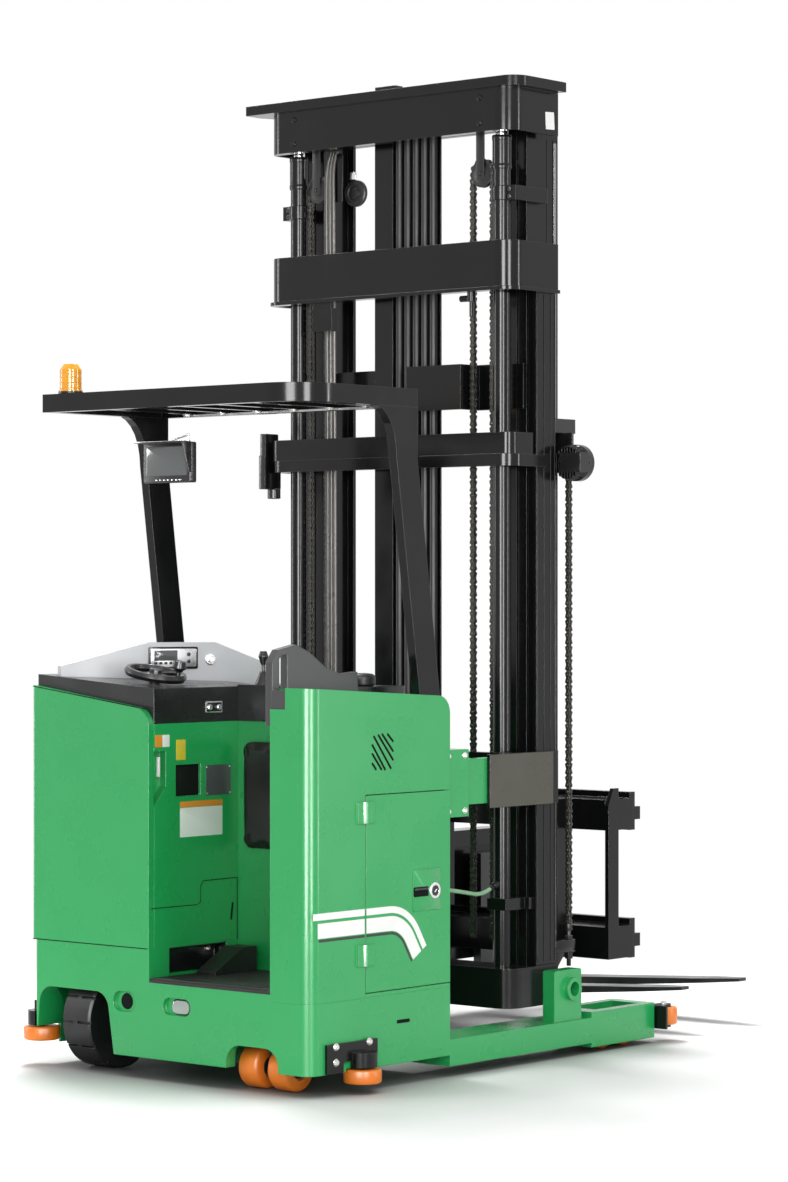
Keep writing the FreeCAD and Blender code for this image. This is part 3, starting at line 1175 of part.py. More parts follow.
# ---------------------------------------------------------------- traverse head and forks
def traverse_head():
    web = D.frame_front + D.rack_web
    front = web + D.rack_depth
    face = front + D.slide_thick
    sides = (D.pivot_side - D.slide_half, D.pivot_side + D.slide_half)
    pieces = [slab((front + D.hook_clear, face), sides, (D.slide_bottom, D.slide_top))]
    for bottom, top in ((D.upper_rail_bottom, D.upper_rail_top),
                        (D.carriage_bottom, D.lower_rail_top)):
        upper = (bottom + top) / 2 + D.rack_tall / 2 + D.hook_clear
        lower = (bottom + top) / 2 - D.rack_tall / 2 - D.hook_clear
        for span in ((upper, upper + D.hook_thick), (lower - D.hook_thick, lower)):
            pieces.append(slab((web + D.hook_clear, front + D.hook_clear), sides, span))
    along, side = D.pivot_along, D.pivot_side
    for bottom, top in ((D.low_arm_bottom, D.low_arm_top), (D.high_arm_bottom, D.high_arm_top)):
        pieces.append(slab((face, along), (side - D.arm_half, side + D.arm_half), (bottom, top)))
        pieces.append(rod("z", bottom, top, D.arm_half, along, side))
    pieces.append(slab((face - D.slide_thick + D.hook_clear, face),
                       (side - D.arm_half, side + D.arm_half),
                       (D.low_arm_bottom, D.slide_bottom)))
    pieces.append(slab((face, along - D.post_radius - D.gusset_clear),
                       (side - D.gusset_half, side + D.gusset_half),
                       (D.low_arm_top, D.high_arm_bottom)))
    bores = rod("z", D.low_arm_bottom - 1, D.high_arm_top + 1, D.post_pin + D.running_gap,
                along, side)
    name_part(cut(fuse(pieces), bores), "traverse_head")


def fork_carrier():
    along, side = D.pivot_along, D.pivot_side
    post = rod("z", D.low_arm_top + D.post_clear, D.high_arm_bottom - D.post_clear,
               D.post_radius, along, side)
    pin = rod("z", D.low_arm_bottom, D.high_arm_top, D.post_pin, along, side)
    reach = D.fork_spread / 2 + D.fork_width / 2 - D.bar_over
    face = side - D.bar_offset
    bars = [slab((along - reach, along + reach), (face - D.bar_thick, face), span)
            for span in ((D.low_bar_bottom, D.low_bar_top), (D.high_bar_bottom, D.high_bar_top))]
    web = slab((along - 32, along + 32), (face, side), (D.low_bar_bottom, D.high_bar_top))
    straps = [slab((along + sign * 120 - 16, along + sign * 120 + 16), (face - D.bar_thick, face),
                   (D.low_bar_top, D.high_bar_bottom)) for sign in (-1, 1)]
    name_part(fuse(post, pin, bars, web, straps), "fork_carrier")


def fork(along):
    """One L-shaped fork: upright shank and a blade that thins and rises towards its tip."""
    back = D.pivot_side - D.bar_offset - D.bar_thick - D.fork_clear
    face = back - D.fork_shank
    heel_top = D.fork_tip_height - D.fork_rise
    outline = [(back, D.fork_top), (back, heel_top - D.fork_heel + 30),
               (back - 30, heel_top - D.fork_heel),
               (fork_end, D.fork_tip_height - D.fork_tip), (fork_end, D.fork_tip_height),
               (face - 24, heel_top), (face, heel_top + 24), (face, D.fork_top)]
    blade = pad("YZ", along - D.fork_width / 2, along + D.fork_width / 2, outline)
    keep = pad("XY", 0, D.fork_top + 10,
               [(along - D.fork_nose_half, fork_end - 1), (along + D.fork_nose_half, fork_end - 1),
                (along + D.fork_width / 2, fork_end + D.fork_nose),
                (along + D.fork_width / 2, back + 1), (along - D.fork_width / 2, back + 1),
                (along - D.fork_width / 2, fork_end + D.fork_nose)])
    shape = doc.addObject("Part::MultiCommon", "Fork")
    shape.Shapes = [blade, keep]
    return shape


def forks():
    name_part(together(fork(D.pivot_along - D.fork_spread / 2),
                       fork(D.pivot_along + D.fork_spread / 2)), "forks")


# ---------------------------------------------------------------- guard, lights, chains
def overhead_guard():
    edge = D.guard_half
    rim = pad("XY", D.guard_bottom, D.guard_top, rectangle((0, D.guard_length), (-edge, edge)),
              [rectangle((D.guard_rim, D.guard_length - D.guard_rim),
                         (D.guard_rim - edge, edge - D.guard_rim))])
    round_body(rim, "z", [(0, -edge)], D.guard_round)
    round_body(rim, "z", [(D.guard_rim, D.guard_rim - edge)], D.guard_round - D.guard_rim)
    bars = [slab((D.guard_rim, D.guard_length - D.guard_rim),
                 (spot * D.bar_pitch - D.bar_wide / 2, spot * D.bar_pitch + D.bar_wide / 2),
                 (D.guard_top - D.bar_tall - 8, D.guard_top - 8))
            for spot in (-2.5, -1.5, -0.5, 0.5, 1.5, 2.5)]
    name_part(rim, "overhead_guard")
    name_part(together(*bars), "guard_bars")


def guard_pillars():
    pillars = []
    for sign in (-1, 1):
        foot_rear = side_top(D.pillar_foot_rear) if sign < 0 else D.housing_top
        foot_front = side_top(D.pillar_foot_front) if sign < 0 else D.housing_top
        outline = [(D.pillar_foot_rear, foot_rear), (D.pillar_foot_front, foot_front),
                   (D.guard_length, D.guard_bottom - D.gusset_drop),
                   (D.guard_length, D.guard_bottom)]
        outline += [(D.pillar_top_rear - D.gusset_reach * across,
                     D.guard_bottom - D.gusset_drop * down)
                    for across, down in ((1, 0), (0.76, 0.06), (0.5, 0.18), (0.29, 0.34),
                                         (0.12, 0.55), (0.03, 0.78), (0, 1))]
        low, high = sorted((sign * D.guard_half, sign * (D.guard_half - D.pillar_thick)),
                           key=lambda s: s.value)
        pillars.append(pad("XZ", low, high, outline))
    name_part(together(*pillars), "guard_pillars")


def beacon():
    top = D.guard_top + D.beacon_base
    base = rod("z", D.guard_top, top, D.beacon_radius + 4, D.beacon_along, D.beacon_side)
    dome = revolve([(0, top), (D.beacon_radius, top), (D.beacon_radius, top + D.beacon_tall - 22),
                    (D.beacon_radius - 12, top + D.beacon_tall - 4), (0, top + D.beacon_tall)],
                   D.beacon_along, D.beacon_side)
    bridge = slab((D.guard_rim, D.beacon_along + D.beacon_radius),
                  (D.beacon_side, D.guard_half - D.guard_rim), (D.guard_top - 12, D.guard_top))
    name_part(fuse(base, dome, bridge), "beacon")


def monitor():
    case = slab((D.monitor_along - D.monitor_thick, D.monitor_along),
                (D.monitor_side - D.monitor_wide / 2, D.monitor_side + D.monitor_wide / 2),
                (D.monitor_height - D.monitor_tall / 2, D.monitor_height + D.monitor_tall / 2))
    stalk = slab((D.monitor_along, D.pillar_top_rear + 30),
                 (D.monitor_side - 12, D.monitor_side + 12),
                 (D.monitor_height - 12, D.monitor_height + 12))
    link = slab((D.pillar_top_rear + 10, D.pillar_top_rear + 30),
                (D.monitor_side, D.guard_half - D.pillar_thick),
                (D.monitor_height - 12, D.monitor_height + 12))
    rear, low = D.monitor_along - D.monitor_thick, D.monitor_height - D.monitor_tall / 2
    left, right = D.monitor_side + D.monitor_wide / 2, D.monitor_side - D.monitor_wide / 2
    hood = [slab((rear - D.hood_reach, rear), (right, left),
                 (low + D.monitor_tall - 4, low + D.monitor_tall))]
    for near, far in ((right, right + 4), (left - 4, left)):
        hood.append(pad("XZ", near, far,
                        [(rear, low + 40), (rear, low + D.monitor_tall),
                         (rear - D.hood_reach, low + D.monitor_tall), (rear - D.hood_reach + 8, low + 44)]))
    name_part(fuse(case, stalk, link, hood), "monitor")


def work_lights():
    lights = []
    for sign in (-1, 1):
        side = sign * D.light_side
        middle = D.light_bottom + D.light_radius
        front = D.light_along + D.light_thick
        lamp = [cone_along(D.light_along, front - 24, 40, D.light_radius, side, middle),
                rod("x", front - 24, front, D.light_radius, side, middle)]
        near, far = sorted((sign * (D.mast_half - D.tie_wall), sign * (D.mast_half - 48)),
                           key=lambda s: s.value)
        bar = slab((D.mast_front, D.front_chain_along + 14), (near, far),
                   (D.light_bar, D.light_bar + D.light_bar_tall))
        hanger = slab((D.light_along + 14, D.light_along + 22),
                      tuple(sorted((side, sign * (D.mast_half - 48)), key=lambda s: s.value)),
                      (middle, D.light_bar + 1))
        yoke = [slab((D.light_along - 26, D.light_along + 22),
                     tuple(sorted((side + sign * (D.light_radius - 4), side + sign * (D.light_radius + 4)),
                                  key=lambda s: s.value)), (middle - 34, middle + 34)),
                slab((D.light_along - 30, D.light_along - 22),
                     tuple(sorted((side - sign * 20, side + sign * (D.light_radius + 4)),
                                  key=lambda s: s.value)), (middle - 34, middle + 34)),
                rod("x", D.light_along - 26, D.light_along + 1, 16, side, middle)]
        lights.append(fuse(lamp, bar, hanger, yoke))
    name_part(together(*lights), "work_lights")


def front_chains():
    chains = []
    for sign in (-1, 1):
        side = sign * D.front_chain_side
        strand = slab((D.front_chain_along - 7, D.front_chain_along + 7), (side - 12, side + 12),
                      (D.front_chain_bottom, D.front_chain_top))
        screw = rod("z", D.anchor_bottom - 50, D.front_chain_bottom, 8, D.front_chain_along, side)
        block = slab((D.mast_front, D.front_chain_along + 18), (side - 17, side + 17),
                     (D.anchor_bottom, D.anchor_top))
        heel = pad("XZ", side - 8, side + 8,
                   [(D.mast_front, D.anchor_bottom - 70), (D.front_chain_along - 40, D.anchor_bottom),
                    (D.front_chain_along - 40, D.anchor_top), (D.mast_front, D.anchor_top + 50)])
        nuts = [hexagon(low, low + 16, D.nut_radius, D.front_chain_along, side)
                for low in (D.anchor_top, D.anchor_bottom - 16)]
        chains.append(fuse(strand, screw, block, heel, nuts))
    name_part(together(*chains), "front_chains")


# ---------------------------------------------------------------- build and write
chassis_frame()
left_housing()
rear_cover()
right_housing()
battery()
battery_door()
dash()
instrument_board()
control_tray()
arm_pad()
grab_rail()
interior()
joystick()
steering_wheel()
leg(-1, "right_leg")
leg(1, "left_leg")
for side_name, sign in (("right", -1), ("left", 1)):
    load_wheel(sign, D.load_first, "%s_load_wheel_rear" % side_name)
    load_wheel(sign, D.load_second, "%s_load_wheel_front" % side_name)
drive_set()
caster_set()
guide_rollers()
outer_stage()
lift_hose()
mast_arms()
middle_stage()
inner_stage()
traverse_frame()
traverse_head()
fork_carrier()
forks()
overhead_guard()
guard_pillars()
beacon()
monitor()
work_lights()
front_chains()

doc.recompute()
for item in doc.Objects:
    if "Invalid" in item.State or "Error" in item.State:
        raise RuntimeError("%s (%s) failed: %s" % (item.Name, item.Label, item.State))

os.makedirs("parts", exist_ok=True)
for label, item in parts.items():
    if item.Shape.isNull() or not item.Shape.isValid():
        raise RuntimeError("%s has no valid shape" % label)
    item.Shape.exportStep(os.path.join("parts", label + ".step"))
    print("%-22s %d solids  %.3f litres" % (label, len(item.Shape.Solids),
                                            item.Shape.Volume / 1e6))
print(len(parts), "sub-parts")
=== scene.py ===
"""Looks of a stand-up turret truck: paint, rubber, chrome, chains, controls and a plain studio."""
import json
import math

import bmesh
import bpy
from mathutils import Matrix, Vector


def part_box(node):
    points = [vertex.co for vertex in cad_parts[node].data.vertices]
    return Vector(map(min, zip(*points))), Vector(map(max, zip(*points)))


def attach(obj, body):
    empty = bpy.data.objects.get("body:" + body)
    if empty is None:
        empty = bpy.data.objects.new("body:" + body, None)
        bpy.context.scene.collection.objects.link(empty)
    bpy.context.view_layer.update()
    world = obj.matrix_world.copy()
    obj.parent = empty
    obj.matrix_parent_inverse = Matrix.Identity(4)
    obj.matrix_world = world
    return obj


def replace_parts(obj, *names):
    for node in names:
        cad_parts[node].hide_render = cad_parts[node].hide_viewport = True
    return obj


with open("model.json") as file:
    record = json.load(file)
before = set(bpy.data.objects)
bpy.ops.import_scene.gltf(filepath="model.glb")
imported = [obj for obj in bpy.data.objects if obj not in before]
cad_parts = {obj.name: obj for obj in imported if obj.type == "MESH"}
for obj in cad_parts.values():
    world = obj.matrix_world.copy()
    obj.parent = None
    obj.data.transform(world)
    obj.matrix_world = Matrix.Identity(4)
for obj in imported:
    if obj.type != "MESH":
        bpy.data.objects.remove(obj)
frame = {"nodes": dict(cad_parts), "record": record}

QUARTER = math.pi / 2
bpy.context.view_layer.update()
nodes = frame["nodes"]
bpy.ops.object.select_all(action="DESELECT")
TRUCK_MIDDLE = -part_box("chassis_frame")[0][0]
CAMERA_PLACE = (-8119, -7860, 1597)
CAMERA_HEADING = math.radians(40.3)
FOCAL_LENGTH = 104.7
WORLD_LIGHT = 0.42
FLOOR_RADIUS, FADE_STARTS, FADE_ENDS = 5, 1.7, 3.4
# painted shadow on the floor: how far the ambient occlusion reaches, and the darkest and palest
# floor colour it gives
SHADE_REACH = 0.7
DARKEST, PALEST = 0.1, 0.9


def spot(along, side, up):
    """A place given in millimetres from the rear of the body, the centre plane and the floor."""
    return Vector((along / 1000 - TRUCK_MIDDLE, side / 1000, up / 1000))


# -------- camera, studio and floor
def put_in(name, data):
    """An object made from data and linked to the scene."""
    thing = bpy.data.objects.new(name, data)
    bpy.context.scene.collection.objects.link(thing)
    return thing


def give(node, **values):
    """Set a node's inputs by their labels, with an underscore for each space."""
    for label, value in values.items():
        node.inputs[label.replace("_", " ")].default_value = value
    return node


def add(tree, kind, **values):
    """A new shader node of a kind, with its inputs set."""
    return give(tree.nodes.new("ShaderNode" + kind), **values)


def wire(source, made, target, given):
    """Link one node's output to another node's input."""
    source.id_data.links.new(source.outputs[made], target.inputs[given])


def place_camera():
    """The camera at head height off the truck's rear right corner, level, with a long lens."""
    data = bpy.data.cameras.new("Camera")
    camera = put_in("Camera", data)
    camera.location = spot(*CAMERA_PLACE)
    camera.rotation_euler = (QUARTER, 0, CAMERA_HEADING - QUARTER)
    data.sensor_width = 36
    data.lens = FOCAL_LENGTH
    data.shift_y = 0.004
    data.clip_end = 100
    bpy.context.scene.camera = camera


def softbox(name, place, target, size, power, shine=True, light=True):
    """A flat studio lamp; without shine it isn't mirrored, without light it is only mirrored."""
    data = bpy.data.lights.new(name, "AREA")
    data.shape = "RECTANGLE"
    data.size, data.size_y = size
    data.energy = power
    lamp = put_in(name, data)
    lamp.location = place
    lamp.rotation_euler = (Vector(target) - Vector(place)).to_track_quat("-Z", "Y").to_euler()
    lamp.visible_camera = False
    lamp.visible_glossy = shine
    lamp.visible_diffuse = light


def light_studio():
    """Even light from a world that is seen and mirrored as white, with lamps and bright cards."""
    world = bpy.data.worlds.new("Studio")
    world.use_nodes = True
    tree = world.node_tree
    tree.nodes.clear()
    output = add(tree, "OutputWorld")
    mix = add(tree, "MixShader")
    path = add(tree, "LightPath")
    plain = math_node(tree, "MAXIMUM", path.outputs["Is Camera Ray"],
                      path.outputs["Is Transmission Ray"])
    white = math_node(tree, "MAXIMUM", plain, path.outputs["Is Glossy Ray"])
    tree.links.new(white, mix.inputs["Fac"])
    for number, strength in ((1, WORLD_LIGHT), (2, 1.0)):
        light = add(tree, "Background", Color=(1, 1, 1, 1), Strength=strength)
        wire(light, "Background", mix, number)
    wire(mix, "Shader", output, "Surface")
    bpy.context.scene.world = world
    bpy.context.scene.view_settings.view_transform = "Standard"
    softbox("Overhead softbox", (0.6, 1.8, 5.8), (0, 0, 0.8), (2.2, 2.2), 420)
    softbox("Left softbox", (-6, 3.5, 3.2), (0, 0, 1.2), (3, 3), 150, shine=False)
    softbox("Right softbox", (-1, -5.8, 4.2), (0.2, 0, 1), (3, 3), 135, shine=False)
    softbox("Fill by the camera", (-5.5, -4.7, 2.2), (0, 0, 1.2), (3, 3), 150, shine=False)
    softbox("First card", (-4.9, -2.2, 2), (0, 0, 1.8), (1.5, 3.8), 400, light=False)
    softbox("Second card", (-3, -4.6, 2), (0, 0, 1.8), (1.1, 3.8), 270, light=False)
    softbox("Card on the left", (-3, 5.5, 2.2), (0, 0, 1.8), (0.5, 4), 110, light=False)
    softbox("Card on the right", (2.4, -5.5, 2.2), (0, 0, 1.8), (0.5, 4), 110, light=False)


def lay_floor():
    """A pale round floor with a painted contact shadow, darker close under the truck, that fades
    into the white background.
    """
    bpy.ops.mesh.primitive_circle_add(vertices=96, radius=FLOOR_RADIUS, fill_type="NGON",
                                      location=(0, 0, -0.0005))
    floor = bpy.context.object
    floor.name = "studio_floor"
    settle(floor)
    material = bpy.data.materials.new("studio floor")
    material.use_nodes = True
    tree = material.node_tree
    shader = give(tree.nodes["Principled BSDF"], Roughness=0.6)
    # painted shadow: ambient occlusion darkens the floor's colour close under the truck in place of
    # a cast contact shadow
    near = add(tree, "AmbientOcclusion", Distance=SHADE_REACH)
    shade = add(tree, "MapRange", From_Min=0.25, From_Max=0.85, To_Min=DARKEST, To_Max=PALEST)
    wire(near, "AO", shade, "Value")
    wire(shade, "Result", shader, "Base Color")
    clear = add(tree, "BsdfTransparent")
    mix = add(tree, "MixShader")
    place = add(tree, "TexCoord")
    distance = add(tree, "VectorMath")
    distance.operation = "LENGTH"
    fade = add(tree, "MapRange", From_Min=FADE_STARTS, From_Max=FADE_ENDS)
    fade.interpolation_type = "SMOOTHSTEP"
    wire(place, "Object", distance, 0)
    wire(distance, "Value", fade, "Value")
    wire(fade, "Result", mix, "Fac")
    wire(shader, "BSDF", mix, 1)
    wire(clear, "BSDF", mix, 2)
    wire(mix, "Shader", tree.nodes["Material Output"], "Surface")
    floor.data.materials.append(material)


# -------- shared surface effects
def new_group(name, given, made):
    """An empty shader group with named inputs (label, kind, value) and outputs (label, kind)."""
    tree = bpy.data.node_groups.new(name, "ShaderNodeTree")
    for label, kind, value in given:
        socket = tree.interface.new_socket(label, in_out="INPUT", socket_type=kind)
        socket.default_value = value
    for label, kind in made:
        tree.interface.new_socket(label, in_out="OUTPUT", socket_type=kind)
    return tree, tree.nodes.new("NodeGroupInput"), tree.nodes.new("NodeGroupOutput")


FLOAT, COLOUR, VECTOR = "NodeSocketFloat", "NodeSocketColor", "NodeSocketVector"


def noise(tree, source, scale, detail):
    """A noise texture's value; scale is a number or a socket."""
    texture = add(tree, "TexNoise", Detail=detail)
    tree.links.new(source, texture.inputs["Vector"])
    if isinstance(scale, (int, float)):
        texture.inputs["Scale"].default_value = scale
    else:
        tree.links.new(scale, texture.inputs["Scale"])
    return texture.outputs["Fac"]


def math_node(tree, operation, first, second, clamp=False):
    """One step of arithmetic on numbers or sockets."""
    node = add(tree, "Math")
    node.operation = operation
    node.use_clamp = clamp
    for socket, value in zip(node.inputs, (first, second)):
        if isinstance(value, (int, float)):
            socket.default_value = value
        else:
            tree.links.new(value, socket)
    return node.outputs[0]


def mix_colours(tree, factor, first, second):
    """Two colours mixed by a factor, each a value or a socket."""
    node = add(tree, "Mix")
    node.data_type = "RGBA"
    for index, value in ((0, factor), (6, first), (7, second)):
        if isinstance(value, (int, float, tuple)):
            node.inputs[index].default_value = value
        else:
            tree.links.new(value, node.inputs[index])
    return node.outputs[2]


def make_surface_grain():
    """Softly rounded edges with a fine grain over them."""
    tree, given, made = new_group(
        "Surface grain", [("Scale", FLOAT, 300), ("Depth", FLOAT, 0.0002), ("Edge", FLOAT, 0.002)],
        [("Normal", VECTOR)])
    place = add(tree, "TexCoord").outputs["Object"]
    edge = add(tree, "Bevel")
    edge.samples = 4
    wire(given, "Edge", edge, "Radius")
    bump = add(tree, "Bump", Strength=1.0)
    wire(given, "Depth", bump, "Distance")
    tree.links.new(noise(tree, place, given.outputs["Scale"], 3), bump.inputs["Height"])
    wire(edge, "Normal", bump, "Normal")
    wire(bump, "Normal", made, "Normal")
    return tree


def make_uneven_gloss():
    """Roughness that wanders between two values, as on a handled surface."""
    tree, given, made = new_group(
        "Uneven gloss", [("Low", FLOAT, 0.2), ("High", FLOAT, 0.4), ("Scale", FLOAT, 6)],
        [("Roughness", FLOAT)])
    place = add(tree, "TexCoord").outputs["Object"]
    spread = add(tree, "MapRange", From_Min=0.35, From_Max=0.65)
    tree.links.new(noise(tree, place, given.outputs["Scale"], 5), spread.inputs["Value"])
    wire(given, "Low", spread, "To Min")
    wire(given, "High", spread, "To Max")
    wire(spread, "Result", made, "Roughness")
    return tree


def make_handled_colour():
    """A colour with slight unevenness, rubbed edges and a little dust on upward faces."""
    tree, given, made = new_group(
        "Handled colour",
        [("Colour", COLOUR, (0.5, 0.5, 0.5, 1)), ("Rubbed", COLOUR, (0.6, 0.6, 0.6, 1)),
         ("Rub", FLOAT, 0.3), ("Dust", FLOAT, 0.1), ("Patches", FLOAT, 0.1)],
        [("Colour", COLOUR)])
    place = add(tree, "TexCoord").outputs["Object"]
    shape = add(tree, "NewGeometry")
    edge = add(tree, "Bevel", Radius=0.0035)
    edge.samples = 4
    likeness = add(tree, "VectorMath")
    likeness.operation = "DOT_PRODUCT"
    wire(edge, "Normal", likeness, 0)
    wire(shape, "Normal", likeness, 1)
    bend = math_node(tree, "SUBTRACT", 1.0, likeness.outputs["Value"])
    corner = math_node(tree, "MULTIPLY", bend, 6.0, True)
    broken = math_node(tree, "MULTIPLY", corner, noise(tree, place, 55, 4), True)
    rub = math_node(tree, "MULTIPLY", broken, given.outputs["Rub"], True)
    patch = noise(tree, place, 3.5, 4)
    dark = mix_colours(tree, math_node(tree, "MULTIPLY", patch, given.outputs["Patches"], True),
                       given.outputs["Colour"], (0.01, 0.01, 0.01, 1))
    rubbed = mix_colours(tree, rub, dark, given.outputs["Rubbed"])
    split = add(tree, "SeparateXYZ")
    wire(shape, "Normal", split, 0)
    flat = math_node(tree, "MULTIPLY", split.outputs["Z"], given.outputs["Dust"], True)
    settled = math_node(tree, "MULTIPLY", flat, noise(tree, place, 20, 6), True)
    dusty = mix_colours(tree, settled, rubbed, (0.32, 0.30, 0.27, 1))
    tree.links.new(dusty, made.inputs["Colour"])
    return tree


def lay_out(tree):
    """Spread a tree's nodes in columns so that it can be read."""
    for number, node in enumerate(tree.nodes):
        node.location = (220 * (number % 6), -260 * (number // 6))


GRAIN = make_surface_grain()
GLOSS = make_uneven_gloss()
HANDLED = make_handled_colour()


def shared(tree, group, **values):
    """One of the shared groups in a material, with its inputs set."""
    node = add(tree, "Group")
    node.node_tree = group
    return give(node, **values)


def finish(name, colour, gloss, rubbed=(0.5, 0.5, 0.5), rub=0.15, dust=0.05, patches=0.06,
           metal=0.0, coat=0.0, grain=(300, 0.0001), edge=0.002, specular=0.5):
    """A material from the shared groups.

    gloss is the lowest and highest roughness, and grain is its scale and its depth in metres.
    """
    material = bpy.data.materials.new(name)
    material.use_nodes = True
    tree = material.node_tree
    shader = give(tree.nodes["Principled BSDF"], Metallic=metal, Coat_Weight=coat,
                  Coat_Roughness=0.1, Specular_IOR_Level=specular)
    handled = shared(tree, HANDLED, Colour=(*colour, 1), Rubbed=(*rubbed, 1), Rub=rub, Dust=dust,
                     Patches=patches)
    uneven = shared(tree, GLOSS, Low=gloss[0], High=gloss[1], Scale=6)
    surface = shared(tree, GRAIN, Scale=grain[0], Depth=grain[1], Edge=edge)
    wire(handled, "Colour", shader, "Base Color")
    wire(uneven, "Roughness", shader, "Roughness")
    wire(surface, "Normal", shader, "Normal")
    lay_out(tree)
    return material


def vinyl(name, colour, gloss, patches=0.02):
    """A clean sticker or stripe."""
    return finish(name, colour, gloss, rub=0.05, dust=0.02, patches=patches,
                  grain=(400, 0.00002), edge=0.0005)


FINISHES = {
    "green_paint": finish("glossy green paint", (0.012, 0.36, 0.09), (0.24, 0.34),
                          rubbed=(0.25, 0.62, 0.38), rub=0.22, dust=0.03, patches=0.03, coat=0.15,
                          grain=(500, 0.00003), edge=0.004),
    "black_paint": finish("gloss black paint", (0.005, 0.0052, 0.0055), (0.12, 0.2),
                          rubbed=(0.14, 0.14, 0.14), rub=0.35, dust=0.02, patches=0,
                          grain=(420, 0.00002), edge=0.003, specular=0.28),
    "fork_steel": finish("fork black", (0.01, 0.01, 0.011), (0.25, 0.4),
                         rubbed=(0.25, 0.25, 0.25), rub=0.5, dust=0.06, patches=0,
                         grain=(260, 0.00006)),
    "chromed_steel": finish("chromed rod", (0.75, 0.75, 0.76), (0.08, 0.16), metal=1, rub=0,
                            dust=0, patches=0.03, grain=(300, 0.00001)),
    "chain_steel": finish("oiled chain", (0.05, 0.048, 0.044), (0.22, 0.34), metal=0.7,
                          rubbed=(0.42, 0.4, 0.36), rub=0.6, dust=0, patches=0.3,
                          grain=(200, 0.00005), edge=0.0006),
    "wheel_iron": finish("painted casting", (0.01, 0.01, 0.011), (0.3, 0.45), rub=0.3,
                         specular=0.35, grain=(160, 0.0002)),
    "black_rubber": finish("black rubber", (0.008, 0.008, 0.008), (0.35, 0.5), rub=0.1,
                           specular=0.35, grain=(350, 0.00015)),
    "green_rubber": finish("pale green hose", (0.22, 0.42, 0.24), (0.4, 0.55), rub=0.1,
                           grain=(260, 0.0001)),
    "tyre_rubber": finish("tyre rubber", (0.006, 0.006, 0.007), (0.32, 0.45),
                          rubbed=(0.1, 0.1, 0.1), rub=0.5, dust=0.06, specular=0.35,
                          grain=(220, 0.0004)),
    "orange_polyurethane": finish("orange polyurethane", (0.85, 0.21, 0.012), (0.3, 0.45),
                                  rubbed=(0.85, 0.4, 0.15), rub=0.3, dust=0.06, patches=0.12,
                                  grain=(160, 0.0001)),
    "black_plastic": finish("black moulded plastic", (0.008, 0.008, 0.009), (0.2, 0.32),
                            rubbed=(0.12, 0.12, 0.12), rub=0.35, dust=0.03, patches=0,
                            grain=(900, 0.00005), edge=0.004),
    "handle plastic": finish("grey black handle plastic", (0.045, 0.045, 0.047), (0.28, 0.4),
                             rubbed=(0.25, 0.25, 0.25), rub=0.5, dust=0.04, patches=0.1,
                             grain=(700, 0.0001), edge=0.005),
    "grey_plastic": finish("grey moulded board", (0.6, 0.62, 0.64), (0.3, 0.45), rub=0.2,
                           dust=0.03, grain=(800, 0.00006)),
    "screen_plastic": finish("monitor case", (0.012, 0.012, 0.014), (0.2, 0.32), rub=0.2,
                             dust=0.02, grain=(700, 0.00005)),
    "amber_plastic": finish("amber lens", (0.95, 0.4, 0.005), (0.12, 0.2), rub=0, dust=0,
                            coat=0.4, grain=(60, 0.0002)),
    "white vinyl": vinyl("white vinyl", (0.92, 0.92, 0.9), (0.25, 0.35)),
    "dark vinyl": vinyl("dark vinyl", (0.012, 0.03, 0.018), (0.22, 0.32)),
    "orange vinyl": vinyl("orange vinyl", (0.85, 0.3, 0.02), (0.3, 0.4), 0.03),
    "yellow vinyl": vinyl("yellow vinyl", (0.8, 0.62, 0.03), (0.3, 0.4), 0.03),
    "grey vinyl": finish("grey plate print", (0.07, 0.075, 0.08), (0.3, 0.4), rub=0.1, dust=0.02,
                         patches=0.05, grain=(300, 0.00004), edge=0.0005),
    # painted reflection: a warm grey that stands in for the sheen of the low tie's glossy black
    # plates
    "painted reflection plate": finish("grey plate with painted reflection", (0.055, 0.052, 0.036), (0.22, 0.34),
                          rubbed=(0.3, 0.3, 0.26), rub=0.3, dust=0.02, patches=0.05,
                          grain=(300, 0.00003)),
    # near black for seams, and painted shade that stands in for the dark inside of slots, the slit
    # and the tow hole
    "seam": finish("dark seams and painted shade of openings", (0.002, 0.004, 0.003), (0.7, 0.9), rub=0, dust=0, patches=0,
                   grain=(300, 0.00005), edge=0.0005, specular=0.1),
    "zinc": finish("zinc plated bolt", (0.62, 0.61, 0.58), (0.25, 0.4), metal=1, rub=0.1,
                   dust=0.03, patches=0.1, grain=(400, 0.00005), edge=0.0008),
    "hose bundle": finish("grey hose bundle", (0.1, 0.095, 0.088), (0.22, 0.34), metal=0.5,
                          rub=0.1, dust=0, patches=0.3, grain=(200, 0.00003), edge=0.0005),
    "worn track": finish("worn rail track", (0.3, 0.3, 0.3), (0.18, 0.3), metal=1, rub=0.1,
                         dust=0, patches=0.3, grain=(300, 0.00003), edge=0.0005),
    "silver": finish("brushed silver", (0.72, 0.72, 0.73), (0.22, 0.34), metal=1, rub=0.1,
                     dust=0.02, grain=(500, 0.00004), edge=0.0008),
    "screen": finish("grey screen", (0.12, 0.13, 0.13), (0.08, 0.14), rub=0, dust=0,
                     patches=0.05, coat=0.3, grain=(300, 0.00001), edge=0.0005),
    "lens": finish("lamp lens", (0.42, 0.48, 0.44), (0.06, 0.12), rub=0, dust=0, patches=0.6,
                   coat=0.5, grain=(120, 0.0004), edge=0.0005),
}
SLOTS = {entry["node"]: entry["material_slot"] for entry in frame["record"]["subparts"]}
SLOT_OF = {"zinc": "bare_steel", "silver": "bare_steel", "worn track": "bare_steel",
           "hose bundle": "black_rubber", "painted reflection plate": "black_paint"}
SLOT_OF.update((slot, slot) for slot in SLOTS.values())


